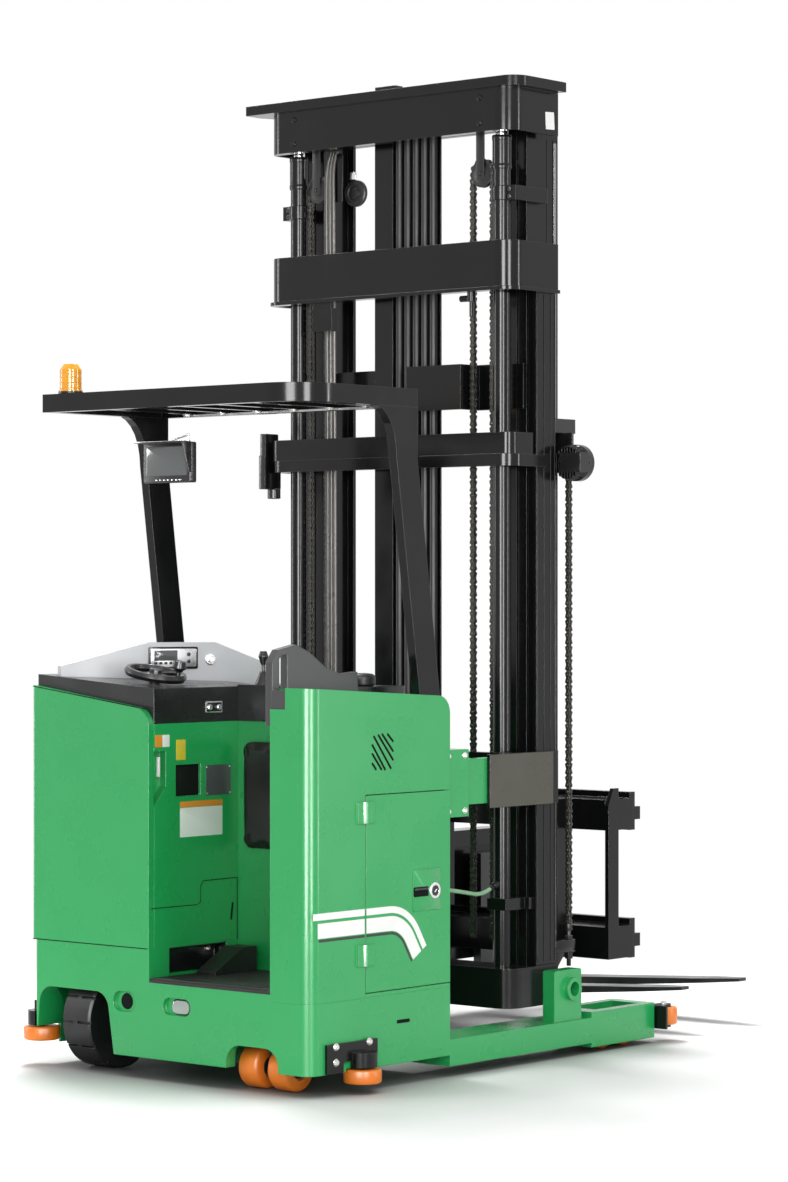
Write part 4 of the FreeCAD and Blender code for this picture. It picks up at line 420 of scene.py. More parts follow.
def dress_nodes():
    """Give every CAD node the finish of its material slot."""
    for node, slot in SLOTS.items():
        data = nodes[node].data
        for index in range(len(data.materials)):
            data.materials[index] = FINISHES[slot]
    nodes["grab_rail"].data.materials[0] = FINISHES["handle plastic"]


# -------- modelling helpers
RIGHT, REAR, LEFT = 0.0, -QUARTER, math.pi
UPWARDS, FORWARDS, REARWARDS = (0, 0, 1), (1, 0, 0), (-1, 0, 0)
LEFTWARDS, RIGHTWARDS = (0, 1, 0), (0, -1, 0)
BOARD, BOARD_CORNER = math.radians(-28.86), (45, 544)
RIGHT_WALL, LATCH_WALL, LEFT_WALL, REAR_WALL = -625, -625.5, 86, -0.2
BARREL_ALONG, BARREL_SIDES = 1172, (-470, 470)
LAMP_SIDES, LAMP_UP = (-591, 591), 2060
MONITOR_FACE = 396
VINYL_THICK = 0.5
GUARD_RIM, BAR_PITCH = 38, 165
MERGE_REACH = 0.00001


def let_go():
    """Leave edit mode with nothing selected."""
    if bpy.context.mode != "OBJECT":
        bpy.ops.object.mode_set(mode="OBJECT")
    bpy.ops.object.select_all(action="DESELECT")


def hold(*pieces):
    """Select just these pieces, the first of them active."""
    let_go()
    for piece in pieces:
        piece.select_set(True)
    bpy.context.view_layer.objects.active = pieces[0]


def settle(piece):
    """Put a piece's place, turn and size into its mesh."""
    hold(piece)
    bpy.ops.object.transform_apply(location=True, rotation=True, scale=True)
    return piece


def take_all():
    """Select the whole mesh in edit mode."""
    bpy.ops.mesh.select_all(action="SELECT")


def open_up(piece):
    """Enter edit mode with the whole mesh selected."""
    hold(piece)
    bpy.ops.object.mode_set(mode="EDIT")
    take_all()


def pick(kind, test):
    """Select the corners or edges whose middle, in millimetres, passes the test."""
    bpy.ops.mesh.select_mode(type=kind)
    bpy.ops.mesh.select_all(action="DESELECT")
    shape = bmesh.from_edit_mesh(bpy.context.edit_object.data)
    middles = {"VERT": (shape.verts, lambda item: item.co),
               "EDGE": (shape.edges, lambda item: (item.verts[0].co + item.verts[1].co) / 2)}
    items, middle = middles[kind]
    for item in items:
        if test(middle(item) * 1000):
            item.select_set(True)
    shape.select_flush_mode()
    bmesh.update_edit_mesh(bpy.context.edit_object.data)


def draw_out(shift):
    """Extrude what is selected by a shift in millimetres."""
    bpy.ops.mesh.extrude_region_move(
        TRANSFORM_OT_translate={"value": tuple(value / 1000 for value in shift)})


def close_up():
    """Merge doubles, point the faces outwards and leave edit mode."""
    take_all()
    bpy.ops.mesh.remove_doubles(threshold=MERGE_REACH)
    bpy.ops.mesh.normals_make_consistent(inside=False)
    let_go()


def modify(piece, kind, **settings):
    """Add a modifier of a kind to a piece, set it and apply it."""
    hold(piece)
    modifier = piece.modifiers.new(kind, kind)
    for setting, value in settings.items():
        setattr(modifier, setting, value)
    bpy.ops.object.modifier_apply(modifier=modifier.name)
    return piece


def round_edges(piece, width, steps=2):
    """Bevel a piece's sharp edges by a width in millimetres."""
    return modify(piece, "BEVEL", width=width / 1000, segments=steps, limit_method="ANGLE",
                  angle_limit=math.radians(30))


def join(*pieces):
    """One piece made of several pieces or lists of pieces."""
    pieces = [one for group in pieces for one in (group if isinstance(group, list) else [group])]
    hold(*pieces)
    if len(pieces) > 1:
        bpy.ops.object.join()
    return settle(bpy.context.view_layer.objects.active)


def block(x, y, z, edge=2, steps=2):
    """A block between two x, two y and two z places, its edges rounded."""
    low, high = spot(min(x), min(y), min(z)), spot(max(x), max(y), max(z))
    bpy.ops.mesh.primitive_cube_add(size=1, location=(low + high) / 2)
    piece = bpy.context.object
    piece.scale = high - low
    return round_edges(settle(piece), edge, steps)


def plate(width, height, thick, corner=0, edge=0, turn=0):
    """A plate at the origin, face up, its corners rounded; turn is in degrees."""
    bpy.ops.mesh.primitive_plane_add(size=1)
    piece = bpy.context.object
    piece.scale = (width / 1000, height / 1000, 1)
    open_up(settle(piece))
    if corner:
        bpy.ops.mesh.bevel(offset=corner / 1000, segments=4, affect="VERTICES")
        take_all()
    draw_out((0, 0, thick))
    close_up()
    if edge:
        round_edges(piece, edge)
    if turn:
        piece.rotation_euler.z = math.radians(turn)
        settle(piece)
    return piece


def turned(rings, sides):
    """A round piece on the origin's z axis; rings are (height, radius) from the foot up."""
    height, radius = rings[0]
    bpy.ops.mesh.primitive_circle_add(vertices=sides, radius=radius / 1000, fill_type="NGON",
                                      location=(0, 0, height / 1000))
    piece = settle(bpy.context.object)
    open_up(piece)
    bpy.ops.mesh.select_mode(type="FACE")
    take_all()
    for following, wide in rings[1:]:
        draw_out((0, 0, following - height))
        if wide != radius:
            bpy.ops.transform.resize(value=(wide / radius, wide / radius, 1),
                                     center_override=(0, 0, following / 1000))
        height, radius = following, wide
    close_up()
    return piece


def both_faces(rings):
    """The rings of one face of a disc on the origin, then those of the other face."""
    return rings + [(-height, wide) for height, wide in reversed(rings)]


def stand(piece, place, facing):
    """Turn a piece that lies face up so that its face looks out of a wall, at its place."""
    piece.rotation_euler = (QUARTER, 0, facing)
    piece.location = spot(*place)
    return settle(piece)


def aim(piece, place, towards):
    """Turn a piece's own z axis towards a direction, at its place."""
    piece.rotation_euler = Vector(towards).to_track_quat("Z", "Y").to_euler()
    piece.location = spot(*place)
    return settle(piece)


def copies(piece, places):
    """The piece again at each place in metres, each copy with its own mesh, joined as one."""
    made = []
    for place in places:
        hold(piece)
        bpy.ops.object.duplicate()
        twin = bpy.context.view_layer.objects.active
        twin.location = place
        made.append(twin)
    bpy.data.objects.remove(piece)
    return join(made)


def finished(piece, name, surface, body="truck", slot=None, smooth=32):
    """Name a piece or joined pieces, give it its finish, and let it move with a body."""
    piece = join(piece)
    bpy.ops.object.shade_smooth_by_angle(angle=math.radians(smooth))
    piece.name = piece.data.name = name
    piece.data.materials.clear()
    piece.data.materials.append(FINISHES[surface])
    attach(piece, body)
    slot = slot or SLOT_OF.get(surface)
    return piece


def bolt(size):
    """A washer and a six-sided head, face up at the origin; size is half the head's width."""
    return join(turned([(0, size * 1.4), (1.4, size * 1.4), (2, size * 1.3)], 18),
                turned([(2, size * 1.15), (size * 0.7, size * 1.15), (size * 0.85, size)], 6))


def bolts(name, facing, places, size=8, body="truck", surface="zinc"):
    """Bolts at several places on one wall; facing None leaves them face up."""
    first = bolt(size)
    if facing is not None:
        first.rotation_euler = (QUARTER, 0, facing)
        settle(first)
    finished(copies(first, [spot(*place) for place in places]), name, surface, body)


def strip(start, end, width, wall, facing=RIGHT, thick=VINYL_THICK, corner=0):
    """A thin strip on a wall between two (along, up) places; wall is the wall's place."""
    (u, v), (far_u, far_v) = start, end
    length = math.hypot(far_u - u, far_v - v)
    piece = plate(length, width, thick, corner, turn=math.degrees(math.atan2(far_v - v, far_u - u)))
    middle_u, middle_v = (u + far_u) / 2, (v + far_v) / 2
    place = (middle_u, wall, middle_v) if facing == RIGHT else (wall, -middle_u, middle_v)
    return stand(piece, place, facing)


def plates(rows, facing=RIGHT, body="truck", slot=None):
    """Plates on a wall, each a piece: name, finish and place, then what plate takes."""
    for name, surface, place, *shape in rows:
        finished(stand(plate(*shape), place, facing), name, surface, body, slot)


def rounds(name, surface, rings, sides, places, towards=RIGHTWARDS, body="truck"):
    """One piece made of the same turned shape at several places, all looking one way."""
    finished([aim(turned(rings, sides), place, towards) for place in places], name, surface, body)


# -------- lift hose and chains
def tube(name, route, radius, rounding):
    """A curve with a round section along one smooth line that is drawn to the route's places."""
    line = bpy.data.curves.new(name, "CURVE")
    line.dimensions = "3D"
    line.bevel_depth, line.bevel_resolution, line.use_fill_caps = radius, rounding, True
    spline = line.splines.new("NURBS")
    spline.points.add(len(route) - 1)
    for point, place in zip(spline.points, route):
        point.co = (*place, 1)
    spline.order_u = 3
    spline.use_endpoint_u = True
    return put_in(name, line)


def make_lift_hose():
    """The pale green hose from the body to the right lift cylinder."""
    route = [spot(*place) for place in (
        (714, -470, 611), (784, -470, 611), (872, -470, 601), (970, -470, 586),
        (1058.88, -470, 570.3), (1105.24, -470, 589.03))]
    hose = tube("lift_supply_hose", route, 0.007, 4)
    hose.data.materials.append(FINISHES["green_rubber"])
    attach(hose, "truck")
    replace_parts(hose, "lift_hose")


WRAP_LINKS = 6
WRAP, HALF_STEP = 44, math.pi / WRAP_LINKS / 2
PITCH = 2 * WRAP * math.sin(HALF_STEP)
LINK_RADIUS, LINK_WAIST = 11.2, 0.55
PULLEY_PLACE = (1180, 0, 3060)
FRONT_CHAIN_ALONG, ANCHORS_ALONG = 1468, 1400


def chain_plate(low, thick, start):
    """One chain plate in the plane of the pins' ends, from start to the next pin."""
    bpy.ops.mesh.primitive_circle_add(vertices=8, radius=LINK_RADIUS / 1000, fill_type="NGON",
                                      location=(0, start / 1000, low / 1000),
                                      rotation=(0, 0, math.radians(22.5)))
    piece = settle(bpy.context.object)
    open_up(piece)
    draw_out((0, 0, thick))
    pick("VERT", lambda place: place.y > start)
    bpy.ops.transform.translate(value=(0, PITCH / 1000, 0))
    pick("EDGE", lambda place: abs(place.x) > 9 and abs(place.y - start - PITCH / 2) < 1)
    bpy.ops.mesh.subdivide(number_cuts=1)
    pick("VERT", lambda place: abs(place.y - start - PITCH / 2) < 1)
    bpy.ops.transform.resize(value=(LINK_WAIST, 1, 1), center_override=(0, 0, 0))
    close_up()
    return piece


def chain_link(wide, start):
    """Two plates and the pin through their start; wide puts them outside the next ones."""
    near, thick = (6.6, 2.4) if wide else (2.6, 3.4)
    pin = turned(both_faces([(-10.4, 2.6), (-10, 3.3)]), 8)
    pin.location.y = start / 1000
    return join(chain_plate(near, thick, start), chain_plate(-near - thick, thick, start),
                settle(pin))


def chain_run(pairs, top):
    """A straight run of link pairs whose upper end is at a height in millimetres."""
    piece = join(chain_link(True, 0), chain_link(False, PITCH))
    modify(piece, "ARRAY", use_relative_offset=False, use_constant_offset=True,
           constant_offset_displace=(0, 2 * PITCH / 1000, 0), count=pairs)
    piece.location.y = (top - 2 * PITCH * pairs) / 1000
    return settle(piece)


def both_sides(side):
    """Shifts by a distance in millimetres to the left and to the right."""
    return [Vector((0, side / 1000, 0)), Vector((0, -side / 1000, 0))]


def make_rear_chains():
    """Leaf chains over the pulleys under the top beam, with the pulleys and their hangers."""
    runs = []
    for side in (-WRAP, WRAP):
        run = chain_run(58, 0)
        run.location.x = side / 1000
        runs.append(settle(run))
    reach = WRAP * math.cos(HALF_STEP) / 1000
    for number in range(WRAP_LINKS):
        angle = HALF_STEP * (2 * number + 1)
        link = chain_link(number % 2 == 0, -PITCH / 2)
        link.rotation_euler.z = angle
        link.location = (reach * math.cos(angle), reach * math.sin(angle), 0)
        runs.append(settle(link))
    chain = stand(join(runs), PULLEY_PLACE, REAR)
    pulley = turned(both_faces([(-12, 14), (-12, 26), (-10, 30), (-10, 46), (-8, 47),
                                (-7, 34)]), 32)
    pin = turned([(-14, 8), (10, 8), (14, 8), (26, 8), (27, 7)], 16)
    hanger = plate(34, 290, 7, 5, 1)
    hanger.location = (0, 0.125, 0.0125)
    wheel = stand(join(pulley, pin, settle(hanger)), PULLEY_PLACE, REAR)
    both = both_sides(380)
    chain = finished(copies(chain, both), "rear_lift_chains", "chain_steel", "mast_middle",
                     smooth=20)
    wheel = finished(copies(wheel, both), "rear_chain_pulleys", "wheel_iron", "mast_middle")
    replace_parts(chain, "rear_chains")
    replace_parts(wheel, "rear_chains")


def make_front_chains():
    """Chains down the front of the mast with their anchors, screws and nuts."""
    run = stand(chain_run(38, 2164), (FRONT_CHAIN_ALONG, 0, 0), REAR)
    nut = [turned([(low, 15), (low + 10, 15), (low + 11.5, 13.5)], 6) for low in (395, 338, 326)]
    screw = turned([(300, 7), (302, 8), (432, 8), (434, 7)], 16)
    eye = turned([(424, 11), (426, 12), (446, 12), (448, 11)], 16)
    screw = join(nut + [screw, eye])
    screw.location = spot(FRONT_CHAIN_ALONG, 0, 0)
    anchor = block((1368, 1486), (-17, 17), (350, 394), 3)
    heel = plate(78, 16, 70, 0, 1)
    heel.location = middle = spot(ANCHORS_ALONG, 0, 281)
    open_up(settle(heel))
    pick("VERT", lambda place: place.z < 290 and place.x > middle.x * 1000)
    bpy.ops.transform.translate(value=(-0.06, 0, 0))
    close_up()
    both = both_sides(533)
    chain = finished(copies(run, both), "front_lift_chains", "chain_steel", smooth=20)
    screws = finished(copies(settle(screw), both), "chain_anchor_screws", "wheel_iron")
    anchors = finished(copies(join(anchor, heel), both), "chain_anchors", "black_paint")
    for piece in (chain, screws, anchors):
        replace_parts(piece, "front_chains")


# -------- wheels and rollers
def wheel_profile(radius, width, hub, shoulder):
    """Rings of a wheel that lies on its side: a hub sunk in each face and eased shoulders."""
    half = width / 2
    return both_faces([
        (-half + 7, hub * 0.5), (-half + 7, hub - 3), (-half, hub), (-half, radius - shoulder),
        (-half + shoulder * 0.4, radius - shoulder * 0.35), (-half + shoulder, radius)])


def make_rolling_wheels():
    """Load wheels, caster wheels and guide rollers in orange, with their dark hubs."""
    sets = []
    for side, word in ((-1, "right"), (1, "left")):
        for along, end in ((1615, "rear"), (1741, "front")):
            sets.append(("%s_load_wheel_%s" % (word, end), [(along, side * 526, 58)],
                         58, 104, 36, 5, LEFTWARDS))
    sets.append(("caster_wheels", [(118, -438, 72), (118, -310, 72)], 72, 84, 34, 11, LEFTWARDS))
    for word, place, radius, tall in (
            ("rear_right", (242, -637, 55), 62, 46), ("rear_left", (45, 637, 109), 62, 46),
            ("front_right", (1926, -612, 91), 48, 62), ("front_left", (1926, 612, 91), 48, 62)):
        sets.append((word + "_roller", [place], radius, tall, 26, 6, UPWARDS))
    for node, places, radius, width, hub, shoulder, axis in sets:
        rim = wheel_profile(radius, width, hub, shoulder)
        disc = both_faces([(-width / 2 + 3, 10), (-width / 2 + 3, hub - 6),
                           (-width / 2 + 6, hub - 4)])
        treads = [aim(turned(rim, 48), place, axis) for place in places]
        tread = finished(treads, node + "_tread", "orange_polyurethane", node)
        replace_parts(tread, node)
        rounds(node + "_hub", "wheel_iron", disc, 28, places, axis, node)
    for word, side in (("right", -612), ("left", 612)):
        bolts("front_%s_roller_bolts" % word, None, [(1926, side, 133)], 9)


# -------- right side of the body
STRIPES_TOP = 588
SWEEP_STARTS, SWEEP_CENTRE, SWEEP_TURN, SWEEP_TAIL = 118, 415, math.radians(58), 70


def sweep_down(middle, width):
    """A stripe at a height that runs on straight, then turns down and runs on; it lies face up."""
    bpy.ops.mesh.primitive_plane_add(size=1, location=(SWEEP_STARTS / 2000, 0, 0))
    sweep = bpy.context.object
    sweep.scale = (SWEEP_STARTS / 1000, width / 1000, 1)
    open_up(settle(sweep))
    pick("EDGE", lambda place: place.x > SWEEP_STARTS - 1)
    bpy.ops.mesh.spin(steps=9, angle=SWEEP_TURN, axis=UPWARDS,
                      center=(SWEEP_STARTS / 1000, (SWEEP_CENTRE - middle) / 1000, 0))
    tail = SWEEP_TAIL / 1000
    bpy.ops.mesh.extrude_edges_move(TRANSFORM_OT_translate={
        "value": (tail * math.cos(SWEEP_TURN), -tail * math.sin(SWEEP_TURN), 0)})
    take_all()
    bpy.ops.mesh.remove_doubles(threshold=MERGE_REACH)
    take_all()
    draw_out((0, 0, VINYL_THICK))
    close_up()
    return sweep


def make_right_side():
    """Vents and slots in painted shade, the door's latch and lock, stripes, hinges, and the roller
    brackets' bolts.
    """
    slots = [((302, 1117), (369, 1031)), ((332, 1148), (409, 1061)), ((302, 1088), (351, 1032)),
             ((351, 1150), (409, 1090)), ((378, 1149), (409, 1122)), ((302, 1057), (324, 1033)),
             ((310, 1144), (398, 1034))]
    # painted shade: flat near black strips stand in for the dark inside of the vent slots
    finished([strip(start, end, 8, RIGHT_WALL, thick=0.6, corner=3.5) for start, end in slots],
             "vent_slots", "seam")
    plates([("latch_panel", "green_paint", (579, LATCH_WALL + 0.3, 630), 144, 138, 1.6, 6, 0.6),
            # painted shade: a near black plate stands in for the dark inside of the latch slot
            ("latch_slot", "seam", (547, LATCH_WALL - 1.3, 625), 77, 32, 1.2, 5, 0.4),
            ("latch_handle", "black_plastic", (547, LATCH_WALL - 1.5, 634), 70, 7, 5, 3, 1)],
           body="door")
    lock = [(618, LATCH_WALL - 1.3, 625)]
    rounds("lock_ring", "silver", [(0, 27), (2.5, 27), (4, 25.5), (4, 19), (2.6, 18)], 32, lock,
           body="door")
    rounds("lock_middle", "black_plastic", [(0, 17), (3.6, 17), (4.6, 15.5)], 28, lock,
           body="door")
    plates([("lock_key_slot", "zinc", (618, LATCH_WALL - 5.6, 625), 16, 4, 1.6, 1.8, 0.5, 40)],
           body="door")
    for name, low, high, surface in (("upper", 566, STRIPES_TOP, "white vinyl"),
                                     ("lower", 508, 556, "white vinyl"),
                                     ("dark", 496, 505, "dark vinyl")):
        middle, width = (low + high) / 2, high - low
        finished(strip((6 + (STRIPES_TOP - low) * 0.4, middle), (266, middle), width, RIGHT_WALL),
                 "side_stripe_%s_rear" % name, surface)
        finished(stand(sweep_down(middle, width), (275, RIGHT_WALL, middle), RIGHT),
                 "side_stripe_%s_door" % name, surface, "door")
    # painted shade: a near black strip stands in for the dark inside of the jacking slot
    finished(strip((426, 209), (492, 209), 12, RIGHT_WALL, corner=5), "jacking_slot", "seam")
    hinge = [block((254, 269), (-634, RIGHT_WALL), (low, low + 70), 1) for low in (403, 863)]
    finished(hinge, "hinge_plates", "silver")
    bolts("right_bracket_bolts", RIGHT, [(113, -636, 159), (113, -636, 109), (276, -636, 161)], 9)
    bolts("left_bracket_bolts", LEFT, [(22, 636, 110), (22, 636, 150), (134, 636, 130)], 9)


# -------- rear and left of the body
def make_rear():
    """The rear lamp, painted shade in the tow hole and the seam along the top of the tub."""
    finished(strip((-634, 432), (-92, 432), 3, REAR_WALL, REAR), "tub_seam_rear", "seam")
    plates([("rear_lamp_lens", "lens", (13, -55, 250), 78, 44, 9, 21, 3),
            ("rear_lamp_bezel", "black_plastic", (14, -53, 250), 88, 52, 2, 25, 0.8)], REAR)
    # painted shade: a near black disc inside the tow hole stands in for its dark inside
    rounds("tow_hole_painted_shade", "seam", [(0, 26), (1, 26), (1.5, 24)], 28, [(11.5, 197, 251)],
           REARWARDS)


def make_left_wall():
    """What is on the wall left of the stand, and the sloping seam of the rear cover."""
    wall = LEFT_WALL
    plates([
        ("switch_plate", "silver", (313, wall, 1223), 80, 38, 1.6, 3, 0.2),
        ("switch_plate_face", "black_plastic", (313, wall - 1.4, 1223), 72, 30, 1.0, 2, 0.2),
        ("window_panel", "seam", (189, wall + 9.6, 981.5), 118, 103, 0.8, 3, 0.2),
        ("rating_plate", "grey vinyl", (335, wall, 977), 122, 102, 1.2, 3, 0.2),
        ("yellow_label", "yellow vinyl", (153, wall, 1084), 46, 68, 0.5, 2, 0.2),
        ("white_label", "white vinyl", (252, wall, 841), 206, 98, 0.5, 3, 0.2),
        ("white_label_band", "orange vinyl", (252, wall, 901), 206, 20, 0.6, 2, 0.2),
        ("small_label_left", "orange vinyl", (47, wall, 1116), 34, 40, 0.5, 2, 0.2),
        ("small_label_right", "white vinyl", (82, wall, 1116), 34, 40, 0.5, 2, 0.2)])
    rounds("switch_buttons", "silver", [(0, 10), (5, 10), (7, 8.5), (7, 6)], 24,
           [(along, wall - 2.4, 1222) for along in (289, 333)])
    lining = [block((99, 376), (143, 145.5), (337, 427), 1),
              block((374, 376.5), (88, 145), (337, 427), 1),
              block((99, 376), (88, 145), (425, 427.5), 1)]
    finished(lining, "toe_recess_lining", "black_plastic")
    bolts("toe_recess_bolts", RIGHT, [(130, 142.8, 405), (345, 142.8, 405)], 7)
    rounds("rating_plate_rivets", "zinc", [(0, 3.4), (1.2, 3.2), (2, 2)], 12,
           [(along, wall - 1.1, up) for along in (280, 390) for up in (933, 1021)])
    lines = [((11, 564), (232, 563)), ((232, 563), (249, 572)), ((249, 571), (249, 626)),
             ((249, 625), (262, 641)), ((261, 641), (428, 642)), ((428, 432), (428, 641))]
    finished([strip(start, end, 3.2, wall, thick=0.4) for start, end in lines],
             "left_wall_seams", "seam")
    # painted shade: a near black strip stands in for the dark inside of the slit
    finished(strip((398, 500), (406, 560), 9, wall, corner=4), "left_wall_slit", "seam")
    plates([("latch_lever", "white vinyl", (53, wall + 14, 1030), 9, 66, 12, 3, 1.5)])
    finished(strip((-634, 1290), (-92, 1222), 3, REAR_WALL, REAR), "rear_cover_seam", "seam")


def make_mat_edge():
    """Ribs along the rear edge of the floor mat and, further apart, over the rest of it."""
    ribs = [block((x, x + 2.5), (-440, 78), (334, 337.6), 0.8) for x in (4, 11, 18)]
    ribs += [block((x, x + 3), (-440, 78), (335, 337.2), 0.8) for x in range(60, 420, 24)]
    finished(ribs, "mat_ribs", "black_rubber")


# -------- controls and monitor
def on_board(along, up, out=0):
    """A place on the instrument board's face."""
    return (BOARD_CORNER[0] + along * math.cos(BOARD) + out * math.sin(BOARD),
            BOARD_CORNER[1] + along * math.sin(BOARD) - out * math.cos(BOARD), up)


def make_controls():
    """The display with its keys, and the key switch, on the instrument board."""
    plates([("display_frame", "black_plastic", on_board(396, 1384), 176, 76, 7, 6, 0.8),
            ("display_face", "silver", on_board(396, 1384), 162, 62, 8.2, 3, 0.8),
            ("display_screen", "screen", on_board(368, 1392), 84, 36, 9, 2, 0.8)],
           BOARD, slot="black_plastic")
    keys = [stand(key, on_board(along, up, 8), BOARD) for key, along, up in
            [(plate(11, 9, 2.4, 2, 0.6), along, 1366) for along in (332, 350, 368, 386, 404)]
            + [(plate(13, 13, 2.4, 5, 0.6), 450, up) for up in (1372, 1396)]]
    finished(keys, "display_keys", "black_plastic")
    rounds("key_switch", "silver", [(0, 20), (3, 20), (5, 17), (5, 12), (16, 11), (18, 9)], 28,
           [on_board(531, 1378)], (math.sin(BOARD), -math.cos(BOARD), 0))


def make_monitor():
    """The reversing monitor: case, bracket, screen, keys, aerial and a hood open on one side."""
    pieces = [block((MONITOR_FACE, 430), (275, 501), (1985, 2125), 6, 3),
              block((352, 398), (273, 501), (2122, 2125.4), 1)]
    flap = block((352, 398), (272, 275.4), (2020, 2125), 1)
    open_up(flap)
    pick("VERT", lambda place: place.z < 2060 and place.x < spot(370, 0, 0).x * 1000)
    bpy.ops.transform.translate(value=(0.032, 0, 0))
    close_up()
    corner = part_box("monitor")[1]
    end, reach = (corner[0] + TRUCK_MIDDLE) * 1000, corner[1] * 1000
    pieces += [flap, block((428, end), (376, 400), (2043, 2067), 3),
               block((end - 20, end), (388, reach), (2043, 2067), 3)]
    case = finished(pieces, "monitor_case", "screen_plastic")
    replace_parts(case, "monitor")
    plates([("monitor_screen", "screen", (MONITOR_FACE, 386, 2060), 192, 100, 1.6, 4, 0.6)],
           REAR, slot="screen_plastic")
    keys = [stand(plate(9, 5, 2, 1.8, 0.5), (MONITOR_FACE, 388 + shift, 1995), REAR)
            for shift in range(-66, 67, 19)]
    finished(keys, "monitor_keys", "silver")
    finished(block((352, 398), (274, 500), (2125.4, 2127.2), 0.8), "monitor_hood_trim", "silver")
    whip = [aim(turned([(0, 5), (26, 5), (30, 4)], 14), (412, 300, 2124), UPWARDS),
            aim(turned([(0, 3.2), (96, 2.4), (98, 1.6)], 12), (412, 303, 2148), (0, 1, -0.22))]
    finished(whip, "monitor_aerial", "silver", slot="black_plastic")


def make_lamps():
    """The work lamps' fins, lenses and bezels, the guard's screws and strip, and the beacon."""
    fins = []
    for side in LAMP_SIDES:
        for shift in range(-48, 49, 12):
            fin = plate(44, 2 * math.sqrt(60 ** 2 - shift ** 2), 3, 8, 0.6)
            fins.append(stand(fin, (1404, side + shift + 1.5, LAMP_UP), RIGHT))
        for along, radius in ((1400, 47), (1407, 52), (1414, 56), (1421, 60), (1428, 64)):
            fins.append(aim(turned([(0, radius - 1.5), (0.6, radius), (2.4, radius),
                                    (3, radius - 1.5)], 36), (along, side, LAMP_UP), FORWARDS))
    screw = bolt(10)
    screw.rotation_euler = (math.pi, 0, 0)
    front = (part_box("overhead_guard")[1][0] + TRUCK_MIDDLE) * 1000 - GUARD_RIM
    ends = [spot(front - 18, BAR_PITCH * (number - 2.5), 2226.8) for number in range(6)]
    finished(copies(settle(screw), ends), "guard_bar_screws", "zinc")
    finished(block((front - 1, front), (-430, 430), (2219, 2226), 0.4, 1), "guard_front_strip",
             "silver")
    finished(fins, "work_lamp_fins", "black_paint")
    rounds("work_lamp_lenses", "lens", [(0, 50), (1, 50), (3.5, 42), (5, 24), (5.5, 8)], 36,
           [(1453, side, LAMP_UP) for side in LAMP_SIDES], FORWARDS)
    rounds("work_lamp_bezels", "black_plastic", [(0, 63.8), (5, 63.8), (8, 61), (8, 53), (4, 51)],
           36, [(1449, side, LAMP_UP) for side in LAMP_SIDES], FORWARDS)
    rounds("beacon_rings", "amber_plastic", [(0, 36.6), (1, 38), (3, 38), (4, 36.6)], 36,
           [(57, 510, up) for up in (2298, 2316, 2334, 2352)], UPWARDS)
    rounds("beacon_foot", "black_plastic", [(0, 41), (2, 42), (9, 42), (12, 39)], 36,
           [(57, 510, 2279)], UPWARDS)


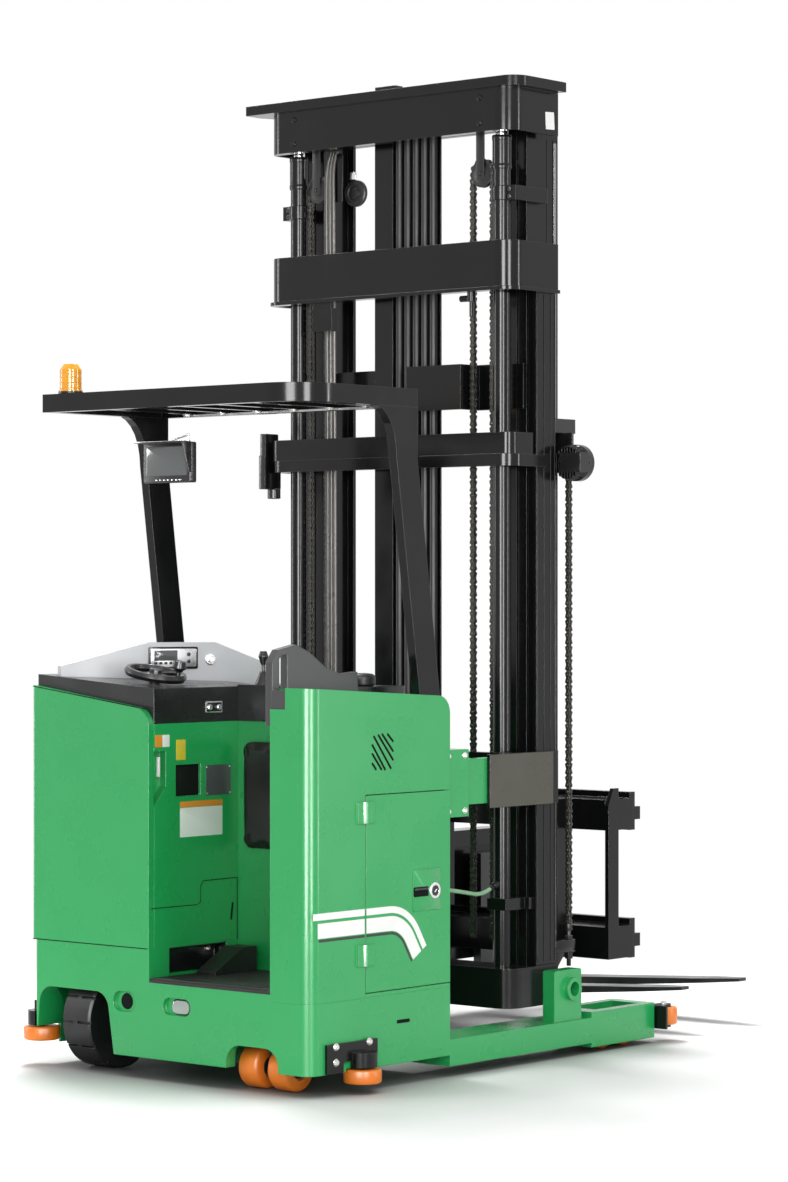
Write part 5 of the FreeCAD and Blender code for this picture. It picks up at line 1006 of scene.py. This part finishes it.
# -------- mast
def make_mast_details():
    """Rings, bolts, the hose pulley, rail edges, boxes, plates and pipes on the mast."""
    rounds("cylinder_gland_rings", "black_paint", [(0, 34.2), (2, 35.4), (14, 35.4), (16, 34.2)],
           32, [(BARREL_ALONG, side, up) for side in BARREL_SIDES for up in (3070, 3168)], UPWARDS)
    rounds("cylinder_clamp_rings", "black_paint", [(0, 33), (1.5, 36), (48.5, 36), (50, 33)], 32,
           [(BARREL_ALONG, side, 2960) for side in BARREL_SIDES], UPWARDS)
    bolts("clamp_bolts", REAR, [(1159, side, up) for side in (-512, 512)
                                for up in (2972, 2998)], 6, surface="chain_steel")
    roller = [(0, 18), (0, 44), (3, 48), (15, 48), (18, 44), (18, 34), (14, 32), (14, 20),
              (20, 18), (20, 9)]
    rounds("hose_pulley", "wheel_iron", roller, 36, [(1234, 242, 3044)], REARWARDS, "mast_middle")
    finished(block((1204, 1214), (229, 255), (3092, 3118), 2), "hose_pulley_clip", "silver",
             "mast_middle")
    plates([("hose_guard_plate", "black_paint", (1185, 297, 3100), 54, 174, 5, 10, 1)], REAR,
           "mast_middle")
    bolts("arm_flange_bolts_right", RIGHT, [(along, -599.3, up) for along in (722, 808)
                                            for up in (878, 1063)])
    for name, wall, places, low, high, body in (
            ("outer_rail_edges", 551, ((1264, 5), (1302, 3), (1340, 3), (1364, 5)), 330, 2640,
             "truck"),
            ("middle_rail_edges", 508, ((1376, 4), (1408, 3), (1432, 6)), 210, 3190,
             "mast_middle")):
        edges = [block((along - wide / 2, along + wide / 2), (sign * wall, sign * (wall + 1.6)),
                       (low, high), 0.7) for sign in (-1, 1) for along, wide in places]
        finished(edges, name, "black_paint", body)
    tracks = [block((1414, 1428), (sign * 508, sign * 508.8), (260, 3180), 0.3, 1)
              for sign in (-1, 1)]
    finished(tracks, "middle_rail_tracks", "worn track", "mast_middle")
    boxes = [block((1104, 1176), (574, 602), (2098, 2186), 4),
             block((1102, 1190), (574, 607), (1984, 2108), 5),
             aim(turned([(0, 20), (2, 24), (34, 24), (38, 20)], 24), (1168, 590, 1950), UPWARDS)]
    finished(boxes, "left_tie_boxes", "black_plastic")
    # painted reflection: thin warm grey sheets on the low tie's faces stand in for the sheen of its
    # glossy plates
    reflection_sheets = [block((974.5, 1323.5), (sign * 575, sign * 575.8), (878.5, 1057.5), 0.6, 1)
              for sign in (-1, 1)]
    finished(reflection_sheets, "low_tie_painted_reflection_plates", "painted reflection plate")
    pipes = []
    for number in range(3):
        route = [(1176, 300 + number * 17, 330), (1176, 300 + number * 17, 1500),
                 (1172, 302 + number * 17, 2500), (1170, 304 + number * 17, 3040),
                 (1172, 306 + number * 15, 3150), (1184, 300 + number * 12, 3196)]
        hold(tube("pipe", [spot(*place) for place in route], 0.0075, 3))
        bpy.ops.object.convert(target="MESH")
        pipes.append(bpy.context.view_layer.objects.active)
    finished(pipes, "mast_pipes", "hose bundle", "mast_middle")
    finished(strip((1296, 3242), (1345, 3245), 60, -563.2, thick=0.6, corner=2), "beam_tag",
             "white vinyl", "mast_middle")
    bolts("beam_bolts", REAR, [(1097, side, up) for side in (-430, 430)
                               for up in (3225, 3312)], 8, "mast_middle", "black_paint")


# -------- cushions
COVER_PRESSURE, COVER_FRAMES = 4, 20


def stuffed(piece, name, voxel, cap, held):
    """Remesh a closed shape, blow it up a little as a foam cover does and smooth it.

    held tells which places, in metres, stay where they rest; cap is the furthest move in mm.
    """
    modify(piece, "REMESH", mode="VOXEL", voxel_size=voxel / 1000)
    start = [corner.co.copy() for corner in piece.data.vertices]
    group = piece.vertex_groups.new(name="held")
    group.add([number for number, place in enumerate(start) if held(place)], 1.0, "REPLACE")
    cover = piece.modifiers.new("Cover", "CLOTH")
    cover.settings.use_pressure = True
    cover.settings.uniform_pressure_force = COVER_PRESSURE
    cover.settings.effector_weights.gravity = 0
    cover.settings.vertex_group_mass = "held"
    for moment in range(1, COVER_FRAMES + 1):
        bpy.context.scene.frame_set(moment)
    hold(piece)
    bpy.ops.object.modifier_apply(modifier=cover.name)
    for corner, before in zip(piece.data.vertices, start):
        move = corner.co - before
        if move.length > cap / 1000:
            corner.co = before + move.normalized() * cap / 1000
    piece.vertex_groups.clear()
    bpy.context.scene.frame_set(1)
    modify(piece, "SUBSURF", levels=1, render_levels=1)
    piece = finished(piece, name, "black_rubber", smooth=60)
    return piece


def make_cushions():
    """The upholstered knee pad and arm rest, blown up over the CAD's plain pads."""
    pad = plate(194, 362, 21, 34, 9)
    pad = stand(pad, (431.2, -47.5, 923.5), REAR)
    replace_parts(stuffed(pad, "knee_cushion", 5, 6, lambda place: place.x > spot(427, 0, 0).x),
                "front_pad")
    rest = turned([(0, 40), (0, 46), (4, 48.5), (28, 49), (36, 46), (41, 38), (43, 20)], 40)
    rest = aim(rest, (536, -376, 1296.5), UPWARDS)
    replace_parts(stuffed(rest, "arm_cushion", 4, 5, lambda place: place.z < 1.303), "arm_pad")


place_camera()
make_lift_hose()
light_studio()
lay_floor()
dress_nodes()
make_rear_chains()
make_front_chains()
make_rolling_wheels()
make_right_side()
make_rear()
make_left_wall()
make_mat_edge()
make_controls()
make_monitor()
make_lamps()
make_mast_details()
make_cushions()
